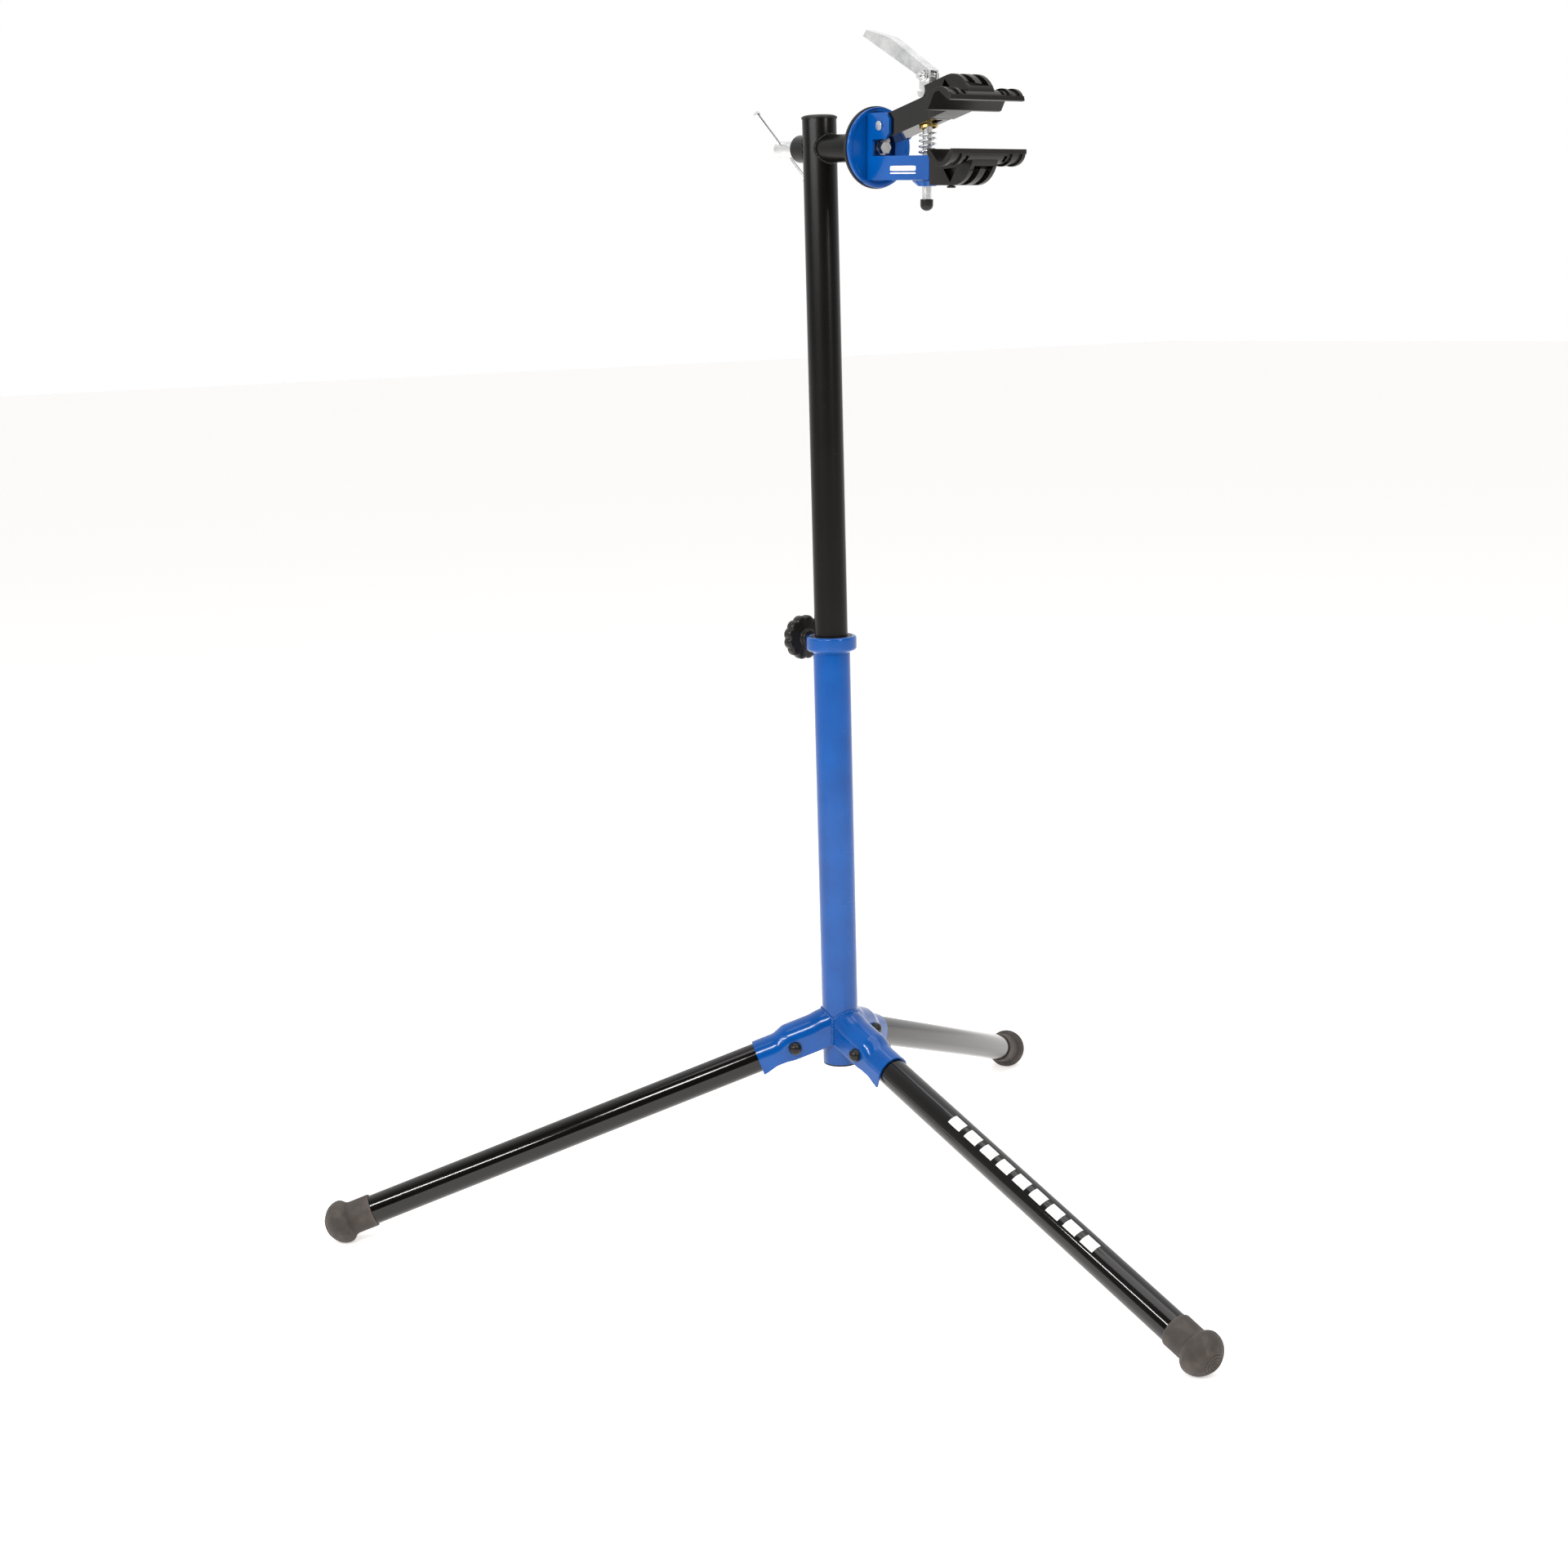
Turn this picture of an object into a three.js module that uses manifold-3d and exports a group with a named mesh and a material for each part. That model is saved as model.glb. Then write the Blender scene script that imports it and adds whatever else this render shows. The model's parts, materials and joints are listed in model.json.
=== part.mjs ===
// Folding bicycle repair stand: three folding legs, a telescopic mast and a rotating clamp head.
// Millimetres, +Z up. While the parts are placed, X = Y = 0 is the column axis, Z = 0 is where
// the leg axes would meet it, and the clamp head and the front leg point along +X.
import * as THREE from 'three';
import { mergeVertices } from 'three/addons/utils/BufferGeometryUtils.js';
import Module from 'manifold-3d';

const wasm = await Module();
wasm.setup();

// ---------------------------------------------------------------- driving dimensions

// Clearances between pieces
const FIT = 0.05; // a piece held fast in or on another
const SEAT = 0.3; // faces that touch inside a turned group
const RUN = 0.5; // a leg between its socket walls
const BOLT_PLAY = 0.1; // a bolt in its hole, on the radius

// Blue lower column
const MAST_OD = 38;
const COLUMN_PLAY = 0.2; // the mast in the column, on the radius
const LOWER_WALL = 2;
const LOWER_OD = MAST_OD + 2 * (COLUMN_PLAY + LOWER_WALL);
const COLUMN_FOOT = -44;
const COLUMN_TOP = 453.6;
const COLLAR_WALL = 7.8;
const COLLAR_OD = LOWER_OD + 2 * COLLAR_WALL;
const COLLAR_DROP = 5.4; // the collar reaches this far below the tube's top
const COLLAR_HEIGHT = 16.8;
const BUSH_WALL = 4.6;
const PLUG_DEPTH = 14;
const PLUG_FLANGE = 2;

// Black mast, its cap and its lower plug
const MAST_WALL = 1.5;
const MAST_TOP = 1039;
const MAST_LENGTH = 980;
const CAP_SKIRT = 3;
const CAP_DOME = 3.5;

// Height knob on the back of the collar
const STUD_RADIUS = 4;
const KNOB_RADIUS = 26.5;
const KNOB_LOBE = 1.8;
const KNOB_LOBES = 12;
const KNOB_THICKNESS = 16;
const KNOB_NECK = 10;
const KNOB_STANDOFF = 46; // column axis to the knob's rim
const PAD_THICKNESS = 4;

// Legs, their sockets and their feet; distances run along the leg axis from the column axis
const LEG_COUNT = 3;
const LEG_NAMES = ['front', 'right', 'left'];
const LEG_TILT = 19.2;
const LEG_OD = 35;
const LEG_WALL = 1.5;
const PIVOT_AT = 60;
const LEG_OVERHANG = 9; // tube beyond the pivot, towards the column
const LEG_END = 638;
const SOCKET_END = 105;
const SOCKET_WALL = 2;
const SOCKET_RAISE = 5.2; // extra roof height where the leg's inner end swings
const RAISE_FROM = 61;
const RAISE_TO = 80;
const SKIRT_DROP = 12.5;
const LEG_BOLT_RADIUS = 4;
const LEG_BOLT_AF = 11;
const LEG_BOLT_HEAD = 3.5;
const CAP_BALL = 7.5;
const FOOT_WALL = 2;
const FOOT_SLEEVE_OD = LEG_OD + 2 * FOOT_WALL;
const FOOT_SLEEVE = 27.8;
const BULB_SWELL = 6; // the bulb stands this far out of the sleeve
const FOOT_BULB_OD = FOOT_SLEEVE_OD + 2 * BULB_SWELL;
const BULB_FROM_END = 9; // the bulb is widest this far inside the tube's end
const FOOT_WIDEST = LEG_END - BULB_FROM_END;
const BULB_BACK = 14;
const BULB_FRONT = 23;
const SOLE_CUT = 1.3; // how far the floor flattens the bulb

// Clamp head: its axis leaves the mast HEAD_HEIGHT up and droops HEAD_DROOP degrees
const HEAD_HEIGHT = 1007.1;
const HEAD_DROOP = 2.75;
const CROSS_OD = 30;
const CROSS_WALL = 2.5;
const CROSS_BACK = -36;
const CROSS_FRONT = 97;
const FLANGE_RADIUS = 41;
const FLANGE_THICKNESS = 2.3;
const FRICTION_RADIUS = 43;
const FRICTION_THICKNESS = 3.5;
const DISC_RADIUS = 42;
const DISC_THICKNESS = 4;
const DISC_EDGE = 3;
const DISC_RECESS_RADIUS = 14;
const DISC_RECESS = 1.6;
const AXLE_RADIUS = 4;
const AXLE_AF = 13;
const AXLE_HEAD = 5.3;
const AXLE_WASHER_RADIUS = 8.2;
const WASHER_THICKNESS = 2;
const BUSH_LENGTH = 15;

// T-nut and its sliding bar behind the mast
const TNUT_RADIUS = 9;
const TNUT_LENGTH = 38;
const BAR_RADIUS = 2.5;
const BAR_FROM_END = 7;
const BAR_LENGTH = 102;
const BAR_SHIFT = 3;
const BAR_ANGLE = 44;
const BAR_BEAD_RADIUS = 3.6;
const BAR_BEAD = 4;

// Fork, lower arm and upper arm; heights are measured from the head axis
const FORK_WIDTH = 34;
const FORK_PLATE = 3;
const FORK_WEB = 3;
const EAR_TOP = 35.4;
const EAR_FOOT = 8;
const EAR_REACH = 37.5; // from the disc face to the front edge of the ears
const EAR_CHAMFER = 6.5;
const NOTCH_ROOT = 6;
const ARM_HEIGHT = 25;
const ARM_WALL = 2.5;
const LOWER_ARM_MID = -21.5;
const LOWER_ARM_REACH = 105; // disc face to the end of the arm
const PIVOT_REACH = 21.7; // disc face to the upper arm's pin
const PIVOT_HEIGHT = 21.9;
const ARM_PIN_RADIUS = 4;
const ARM_PIN_HEAD_RADIUS = 5;
const ARM_PIN_HEAD = 2;
const EAR_PLAY = 0.3; // each side of the upper arm
const UPPER_ARM_WIDTH = FORK_WIDTH - 2 * (FORK_PLATE + EAR_PLAY);
const UPPER_ARM_OPEN = 14.25; // degrees above the head axis at rest
const UPPER_ARM_DROP = 2.2; // arm centre line below the pin
const UPPER_ARM_BACK = 10;
const UPPER_ARM_REACH = 79;

// Jaws: a half-round trough across the arm with a V groove in it
const JAW_LENGTH = 98;
const TROUGH_RADIUS = 19.5;
const TROUGH_DEPTH = 17.3;
const SHELL_INSET = 2.2; // the shell between its ribs is this much smaller
const RIB_WIDTH = 4;
const RIB_PITCH = 13.5;
const GROOVE_MOUTH = 33.8;
const GROOVE_FLOOR = 7;
const GROOVE_DEPTH = 13;
const LIP_HEIGHT = 4.8;
const LIP_OVERHANG = 1.2;
const BODY_WIDTH = 34;
const BODY_DEPTH = 36;
const BODY_ARC = 31;
const BODY_ARC_X = -17;
const BODY_BACK = 55;
const BODY_SHOULDER = 1.5;
const POCKET_WIDTH = 8;
const POCKET_AT = 8;
const POCKET_DEPTH = 9;
const POCKET_TOP = 17;
const RECESS_DEPTH = 6;
const SLOT_WIDTH = 4;
const SLOT_HEIGHT = 6;
const SLOT_AT = 25.5;
const SLOT_DEPTH = 10;
const LOWER_SPIGOT = 15;
const UPPER_SPIGOT = 6;
const JAW_SCREW_RADIUS = 2.5;
const JAW_SCREW_HEAD = 4.5;
const JAW_SCREW_AT = 40; // behind the groove centre
const LOWER_JAW_REACH = 161; // disc face to the groove centre
const LOWER_JAW_LIP = -3.4;
const UPPER_JAW_REACH = 135.5; // pin to the groove centre, along the arm
const UPPER_JAW_LIP = -16.3;

// Clamp rod, its eye, its saddle, its spring and the cam lever
const ROD_REACH = 81.2; // disc face to the rod axis
const ROD_RADIUS = 5;
const ROD_PITCH_PLAY = 0.25;
const ROD_FOOT = -57;
const DOME_RADIUS = 6.8;
const DOME_SKIRT = 6;
const DOME_TOP_GAP = 53.5; // head axis to the dome cap's rim
const BOSS_TOP_RADIUS = 15.5;
const BOSS_FOOT_RADIUS = 9.6;
const BOSS_HEIGHT = 6;
const LEVER_PIVOT_HEIGHT = 71;
const EYE_RADIUS = 7;
const EYE_THICKNESS = 8;
const LEVER_BOLT_RADIUS = 3;
const LEVER_BOLT_AF = 10;
const LEVER_BOLT_HEAD = 4;
const LEVER_BOLT_TAIL = 4.5;
const LEVER_SHEET = 1.5;
const CAM_RADIUS = 15;
const SADDLE_WIDTH = 20;
const SADDLE_NOSE = 6;
const SADDLE_GAP = 1.3;
const SPRING_RADIUS = 8.4;
const SPRING_WIRE = 0.9;
const SPRING_TURNS = 4.5;
const SPRING_LENGTH = 24;
const CUP_RADIUS = 9.6;
const CUP_HEIGHT = 3.4;
const CUP_PLAY = 2.3; // the rod leans this much in the cup as the arm closes
const CUP_SHIFT = 0.9;

// How finely round pieces are divided
const ROUND = 32;
const SMALL_ROUND = 20;
const TINY_ROUND = 14;

// ---------------------------------------------------------------- finishes

const finish = (colour, roughness, metalness) =>
  new THREE.MeshStandardMaterial({ color: colour, roughness, metalness });
const bluePaint = () => finish(0x1a5fc0, 0.25, 0);
const blackPaint = () => finish(0x101011, 0.25, 0);
const blackPlastic = () => finish(0x1c1b1b, 0.45, 0);
const zinc = () => finish(0xc9ccd0, 0.3, 1);
const yellowZinc = () => finish(0xc9b06a, 0.35, 1);
const rubber = () => finish(0x4a4643, 0.8, 0);
const nylon = () => finish(0x232323, 0.5, 0);

// ---------------------------------------------------------------- solids

// Turns a closed geometry into a solid with its faces pointing out.
function solid(geometry) {
  const loose = geometry.index ? geometry.toNonIndexed() : geometry;
  const bare = new THREE.BufferGeometry();
  bare.setAttribute('position', loose.getAttribute('position'));
  const merged = mergeVertices(bare, 1e-4);
  const corners = merged.index.array;
  const make = (flip) => {
    const triangles = [];
    for (let i = 0; i < corners.length; i += 3) {
      const [a, b, c] = [corners[i], corners[i + 1], corners[i + 2]];
      if (a !== b && b !== c && c !== a) triangles.push(a, flip ? c : b, flip ? b : c);
    }
    return new wasm.Manifold(new wasm.Mesh({
      numProp: 3,
      vertProperties: new Float32Array(merged.getAttribute('position').array),
      triVerts: new Uint32Array(triangles),
    }));
  };
  const made = make(false);
  return made.volume() < 0 ? make(true) : made;
}

const join = (first, ...rest) => rest.reduce((sum, next) => sum.add(next), first);
const cut = (first, ...rest) => rest.reduce((left, next) => left.subtract(next), first);

// A solid as a geometry with flat faces.
function geometryOf(body) {
  const { vertProperties, triVerts, numProp } = body.getMesh();
  const points = new Float32Array(triVerts.length * 3);
  triVerts.forEach((corner, i) => {
    for (let k = 0; k < 3; k += 1) points[3 * i + k] = vertProperties[corner * numProp + k];
  });
  const geometry = new THREE.BufferGeometry();
  geometry.setAttribute('position', new THREE.BufferAttribute(points, 3));
  geometry.computeVertexNormals();
  return geometry;
}

// A profile of [radius, height] points turned about Z; it closes on the axis or on itself.
function turned(profile, facets = ROUND) {
  const points = profile.map(([r, z]) => new THREE.Vector2(r, z));
  return solid(new THREE.LatheGeometry(points, facets).rotateX(Math.PI / 2));
}

// A plain cylinder, or a ring when an inner radius is given, from z = low to z = high.
const rod = (radius, low, high, facets = ROUND) =>
  turned([[0, low], [radius, low], [radius, high], [0, high]], facets);
const ring = (outer, inner, low, high, facets = ROUND) =>
  turned([[inner, low], [outer, low], [outer, high], [inner, high], [inner, low]], facets);

// A hexagonal prism, its flats `af` apart.
const hexagon = (af, low, high) => turned(
  [[0, low], [af / Math.sqrt(3), low], [af / Math.sqrt(3), high], [0, high]], 6);

// A box between two corners.
function block([x0, y0, z0], [x1, y1, z1]) {
  const box = new THREE.BoxGeometry(x1 - x0, y1 - y0, z1 - z0);
  return solid(box.translate((x0 + x1) / 2, (y0 + y1) / 2, (z0 + z1) / 2));
}

// An outline in X and Z given thickness along Y, centred on `middle`.
function profiled(outline, width, middle = 0) {
  const shape = outline instanceof THREE.Shape
    ? outline : new THREE.Shape(outline.map(([x, z]) => new THREE.Vector2(x, z)));
  const flat = new THREE.ExtrudeGeometry(shape, {
    depth: width, bevelEnabled: false, curveSegments: SMALL_ROUND,
  });
  return solid(flat.rotateX(Math.PI / 2).translate(0, middle + width / 2, 0));
}

const QUARTER = 90;
const alongX = (body) => body.rotate([0, QUARTER, 0]);
const alongY = (body) => body.rotate([-QUARTER, 0, 0]);

function arc(radius, from, to, steps, [x, z] = [0, 0]) {
  return Array.from({ length: steps + 1 }, (_, i) => {
    const angle = THREE.MathUtils.degToRad(from + ((to - from) * i) / steps);
    return [x + radius * Math.cos(angle), z + radius * Math.sin(angle)];
  });
}

const stand = new THREE.Group();

function place(parent, name, body, material) {
  const mesh = new THREE.Mesh(geometryOf(body), material);
  mesh.name = name;
  parent.add(mesh);
  return mesh;
}

// ---------------------------------------------------------------- legs and sockets

const legRadius = LEG_OD / 2;
const socketInner = legRadius + RUN;
const socketOuter = socketInner + SOCKET_WALL;

// The socket's section across the leg: a round roof with straight skirts below it.
function socketSection(radius, raise, from, to, drop) {
  const roof = arc(radius, 0, 180, ROUND / 2, [0, raise]);
  const outline = [[radius, -drop], ...roof, [-radius, -drop]];
  const shape = new THREE.Shape(outline.map(([y, z]) => new THREE.Vector2(y, z)));
  const run = new THREE.ExtrudeGeometry(shape, { depth: to - from, bevelEnabled: false });
  // the outline's first axis becomes Y, its second Z, and the depth runs along X
  run.applyMatrix4(new THREE.Matrix4().makeBasis(
    new THREE.Vector3(0, 1, 0), new THREE.Vector3(0, 0, 1), new THREE.Vector3(1, 0, 0)));
  return solid(run.translate(from, 0, 0));
}

// The stretch where the roof climbs from the low part to the raised part.
function socketStep(radius, drop) {
  const steps = 3;
  const width = (RAISE_TO - RAISE_FROM) / steps;
  return Array.from({ length: steps }, (_, i) => {
    const share = 1 - (i + 0.5) / steps;
    const ease = share * share * (3 - 2 * share);
    const from = RAISE_FROM + i * width;
    return socketSection(radius, SOCKET_RAISE * ease, from, from + width, drop);
  });
}

// The same three stretches make the socket's outside and, smaller, its hollow.
function socketForm(radius, from, to, drop) {
  return join(
    socketSection(radius, SOCKET_RAISE, from, RAISE_FROM, drop),
    ...socketStep(radius, drop),
    socketSection(radius, 0, RAISE_TO, to, drop));
}

const columnRadius = LOWER_OD / 2;

// Each socket keeps to its own share of the round, so neighbours meet in a mitre.
function socketShare() {
  const reach = 2 * SOCKET_END;
  const spread = (reach - SEAT) * Math.tan(Math.PI / LEG_COUNT);
  const wedge = new THREE.Shape([
    new THREE.Vector2(SEAT, 0), new THREE.Vector2(reach, -spread),
    new THREE.Vector2(reach, spread)]);
  const prism = new THREE.ExtrudeGeometry(wedge, { depth: 2 * reach, bevelEnabled: false });
  return solid(prism.translate(0, 0, -reach)).rotate([0, -LEG_TILT, 0]);
}

function legSocket() {
  const boltHole = alongY(rod(LEG_BOLT_RADIUS + BOLT_PLAY, -LEG_OD, LEG_OD, SMALL_ROUND))
    .translate([PIVOT_AT, 0, 0]);
  const columnSpace = rod(columnRadius + SEAT, -LEG_OD * 2, LEG_OD * 2)
    .rotate([0, -LEG_TILT, 0]);
  return cut(
    socketForm(socketOuter, 0, SOCKET_END, SKIRT_DROP),
    socketForm(socketInner, -1, SOCKET_END + 1, SKIRT_DROP + 1),
    boltHole,
    columnSpace).intersect(socketShare());
}

function legTube() {
  const inner = PIVOT_AT - LEG_OVERHANG;
  const tube = alongX(ring(legRadius, legRadius - LEG_WALL, inner, LEG_END));
  const hole = alongY(rod(LEG_BOLT_RADIUS + BOLT_PLAY, -LEG_OD, LEG_OD, SMALL_ROUND));
  return cut(tube, hole.translate([PIVOT_AT, 0, 0]));
}

// A bolt across the socket: a hexagon head on one side, a hexagon nut's bulk on the other.
function legBolt() {
  const half = socketOuter + SEAT;
  return alongY(join(
    rod(LEG_BOLT_RADIUS, -half, half, SMALL_ROUND),
    hexagon(LEG_BOLT_AF, half, half + LEG_BOLT_HEAD),
    hexagon(LEG_BOLT_AF, -half - LEG_BOLT_HEAD, -half))).translate([PIVOT_AT, 0, 0]);
}

// A hollow ball cap that snaps over a bolt's end; `side` is +1 or -1 along Y.
function legBoltCap(side) {
  const base = socketOuter + SEAT;
  const hollow = LEG_BOLT_AF / Math.sqrt(3) + SEAT;
  const skirt = LEG_BOLT_HEAD + SEAT;
  const dome = arc(CAP_BALL, 0, 90, 4, [0, skirt - 1]);
  const profile = [[hollow, 0], [CAP_BALL, 0], ...dome.slice(0, -1),
    [0, skirt - 1 + CAP_BALL], [0, skirt], [hollow, skirt], [hollow, 0]];
  const cap = alongY(turned(profile, TINY_ROUND).translate([0, 0, base]));
  return (side > 0 ? cap : cap.rotate([0, 0, 180])).translate([PIVOT_AT, 0, 0]);
}

// The rubber foot: a sleeve over the tube that swells into a bulb with a domed end.
const bulbRadius = FOOT_BULB_OD / 2;
const sleeveRadius = FOOT_SLEEVE_OD / 2;
const tilt = THREE.MathUtils.degToRad(LEG_TILT);
const bulbBelow = Math.hypot(BULB_FRONT * Math.sin(tilt), bulbRadius * Math.cos(tilt));
const floorLevel = SOLE_CUT - FOOT_WIDEST * Math.sin(tilt) - bulbBelow;

function foot() {
  const neckAngle = THREE.MathUtils.radToDeg(Math.acos(sleeveRadius / bulbRadius));
  const back = arc(1, -neckAngle, 0, 4).map(([across, along]) => [
    bulbRadius * across, FOOT_WIDEST + BULB_BACK * along]);
  const front = arc(1, 0, 90, 6).map(([across, along]) => [
    bulbRadius * across, FOOT_WIDEST + BULB_FRONT * along]);
  const mouth = back[0][1] - FOOT_SLEEVE;
  const bore = legRadius + FIT;
  const profile = [
    [bore, mouth], [sleeveRadius - 0.7, mouth], [sleeveRadius, mouth + 0.7], ...back,
    ...front.slice(1, -1), [0, FOOT_WIDEST + BULB_FRONT], [0, LEG_END + FIT],
    [bore, LEG_END + FIT], [bore, mouth]];
  // the floor plane in the leg's own frame
  const floor = block([-1000, -100, -300], [1000, 100, floorLevel]).rotate([0, -LEG_TILT, 0]);
  return cut(alongX(turned(profile)), floor);
}

LEG_NAMES.slice(0, LEG_COUNT).forEach((name, i) => {
  const turn = new THREE.Group();
  turn.rotation.z = (i * 2 * Math.PI) / LEG_COUNT;
  stand.add(turn);
  const leg = new THREE.Group();
  leg.rotation.y = tilt;
  turn.add(leg);
  place(leg, `leg_socket_${name}`, legSocket(), bluePaint());
  place(leg, `leg_tube_${name}`, legTube(), blackPaint());
  place(leg, `leg_bolt_${name}`, legBolt(), zinc());
  place(leg, `leg_bolt_cap_${name}_a`, legBoltCap(-1), blackPlastic());
  place(leg, `leg_bolt_cap_${name}_b`, legBoltCap(1), blackPlastic());
  place(leg, `foot_${name}`, foot(), rubber());
});

// ---------------------------------------------------------------- lower column

const mastRadius = MAST_OD / 2;
const columnBore = columnRadius - LOWER_WALL;
const collarFoot = COLUMN_TOP - COLLAR_DROP;
const collarTop = collarFoot + COLLAR_HEIGHT;
const knobHeight = (collarFoot + collarTop) / 2 + 1.5;
const bushOuter = mastRadius + FIT + BUSH_WALL;
const studHole = alongX(rod(STUD_RADIUS + BOLT_PLAY, -COLLAR_OD, 0, SMALL_ROUND))
  .translate([0, 0, knobHeight]);

// The collar grips the tube's top from outside and holds the guide bush above it.
const collarProfile = [
  [columnRadius + FIT, collarFoot], [COLLAR_OD / 2 - 1, collarFoot],
  [COLLAR_OD / 2, collarFoot + 1], [COLLAR_OD / 2, collarTop - 1], [COLLAR_OD / 2 - 1, collarTop],
  [bushOuter + FIT, collarTop], [bushOuter + FIT, COLUMN_TOP], [columnRadius + FIT, COLUMN_TOP],
  [columnRadius + FIT, collarFoot]];
const plugTop = COLUMN_FOOT + PLUG_DEPTH;

place(stand, 'lower_column', ring(columnRadius, columnBore, COLUMN_FOOT, COLUMN_TOP), bluePaint());
place(stand, 'column_collar', cut(turned(collarProfile), studHole), bluePaint());
place(stand, 'guide_bush', cut(
  ring(bushOuter, mastRadius + FIT, COLUMN_TOP + FIT, collarTop), studHole), nylon());
place(stand, 'column_bottom_plug', join(
  rod(columnBore - FIT, COLUMN_FOOT, plugTop),
  rod(columnRadius, COLUMN_FOOT - PLUG_FLANGE, COLUMN_FOOT)), blackPlastic());

// ---------------------------------------------------------------- height knob

const padAt = mastRadius + FIT;
const knobRim = KNOB_STANDOFF;

// A round grip with shallow lobes round its edge and a neck towards the collar.
function knob() {
  const points = Array.from({ length: KNOB_LOBES * 6 }, (_, i) => {
    const angle = (i / (KNOB_LOBES * 6)) * 2 * Math.PI;
    const radius = KNOB_RADIUS - KNOB_LOBE * (1 - Math.abs(Math.sin((KNOB_LOBES * angle) / 2)));
    return new THREE.Vector2(radius * Math.cos(angle), radius * Math.sin(angle));
  });
  const grip = new THREE.ExtrudeGeometry(new THREE.Shape(points), {
    depth: KNOB_THICKNESS - 4, bevelEnabled: true, bevelThickness: 2, bevelSize: 2,
    bevelOffset: -2, bevelSegments: 1,
  });
  return cut(
    join(solid(grip.translate(0, 0, 2)), rod(KNOB_NECK, -6, 1, SMALL_ROUND)),
    rod(STUD_RADIUS + FIT, -7, KNOB_THICKNESS - 4, SMALL_ROUND));
}

const backwards = (body) => body.rotate([0, -QUARTER, 0]).translate([0, 0, knobHeight]);
place(stand, 'height_knob', backwards(knob().translate([0, 0, knobRim])), blackPlastic());
place(stand, 'knob_stud', backwards(rod(
  STUD_RADIUS, padAt + PAD_THICKNESS + FIT, knobRim + KNOB_THICKNESS - 5, SMALL_ROUND)), zinc());
place(stand, 'pressure_pad', backwards(rod(
  STUD_RADIUS - 0.5, padAt + 0.2, padAt + PAD_THICKNESS, SMALL_ROUND)), nylon());

// ---------------------------------------------------------------- mast

// The head's own frame: X along the head axis, its origin where that axis crosses the mast.
const droop = THREE.MathUtils.degToRad(HEAD_DROOP);
const head = new THREE.Group();
head.position.z = HEAD_HEIGHT;
head.rotation.y = droop;
stand.add(head);

const crossRadius = CROSS_OD / 2;
const crossHole = alongX(rod(crossRadius + SEAT, -LOWER_OD, LOWER_OD))
  .rotate([0, HEAD_DROOP, 0]).translate([0, 0, HEAD_HEIGHT]);
const mastFoot = MAST_TOP - MAST_LENGTH;
const mastBore = mastRadius - MAST_WALL;

place(stand, 'upper_column', cut(
  ring(mastRadius, mastBore, mastFoot, MAST_TOP), crossHole), blackPaint());
place(stand, 'mast_bottom_plug', join(
  rod(mastBore - FIT, mastFoot, mastFoot + PLUG_DEPTH),
  rod(mastRadius - 0.2, mastFoot - PLUG_FLANGE, mastFoot)), blackPlastic());

const capEdge = mastRadius + 0.9;
const capDome = arc(1, 0, 90, 4).map(([across, up]) => [
  capEdge * across, MAST_TOP + 1 + CAP_DOME * up]);
place(stand, 'mast_cap', turned([
  [0, MAST_TOP - CAP_SKIRT], [mastBore - FIT, MAST_TOP - CAP_SKIRT], [mastBore - FIT, MAST_TOP],
  [capEdge, MAST_TOP], ...capDome.slice(0, -1), [0, MAST_TOP + 1 + CAP_DOME]]), blackPlastic());

// ---------------------------------------------------------------- head axle and friction brake

const crossBore = crossRadius - CROSS_WALL;
const flangeFace = CROSS_FRONT + FLANGE_THICKNESS;
const frictionBack = flangeFace + FIT;
const frictionFace = frictionBack + FRICTION_THICKNESS;
const discBack = frictionFace + FIT;
const discFace = discBack + DISC_THICKNESS;
const webBack = discFace + SEAT;
const webFace = webBack + FORK_WEB;
const axleHole = AXLE_RADIUS + BOLT_PLAY;

place(head, 'cross_tube', alongX(ring(crossRadius, crossBore, CROSS_BACK, CROSS_FRONT)),
  blackPaint());
place(head, 'brake_flange', alongX(ring(
  FLANGE_RADIUS, axleHole, CROSS_FRONT + FIT, flangeFace)), zinc());
place(head, 'axle_bush_front', alongX(ring(
  crossBore - BOLT_PLAY, axleHole, CROSS_FRONT - BUSH_LENGTH, CROSS_FRONT - FIT, SMALL_ROUND)), nylon());
place(head, 'axle_bush_rear', alongX(ring(
  crossBore - BOLT_PLAY, axleHole, CROSS_BACK, CROSS_BACK + BUSH_LENGTH, SMALL_ROUND)), nylon());
place(head, 'friction_disc', alongX(ring(
  FRICTION_RADIUS, axleHole, frictionBack, frictionFace)), rubber());

// The stamped disc: rounded front edge and a pressed recess round the axle.
const discEdge = arc(DISC_EDGE, 0, 90, 4, [DISC_RADIUS - DISC_EDGE, discFace - DISC_EDGE]);
place(head, 'head_disc', alongX(turned([
  [axleHole, discBack], [DISC_RADIUS, discBack], ...discEdge,
  [DISC_RECESS_RADIUS, discFace], [DISC_RECESS_RADIUS - 2, discFace - DISC_RECESS],
  [axleHole, discFace - DISC_RECESS], [axleHole, discBack]])), bluePaint());

const washerFace = webFace + SEAT + WASHER_THICKNESS;
place(head, 'axle_washer', alongX(ring(
  AXLE_WASHER_RADIUS, axleHole, webFace + SEAT, washerFace, SMALL_ROUND)), zinc());

// The hexagon bolt runs from the fork's web right through to the T-nut.
const thrustFace = CROSS_BACK - FIT - WASHER_THICKNESS;
const nutFront = thrustFace - FIT;
const nutBack = nutFront - TNUT_LENGTH;
const headStart = washerFace + SEAT;
const axleEnd = nutBack + BAR_FROM_END + BAR_RADIUS + 3;
place(head, 'axle_bolt', join(
  alongX(rod(AXLE_RADIUS, axleEnd, headStart, SMALL_ROUND)),
  alongX(hexagon(AXLE_AF, headStart, headStart + AXLE_HEAD))), zinc());

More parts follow.
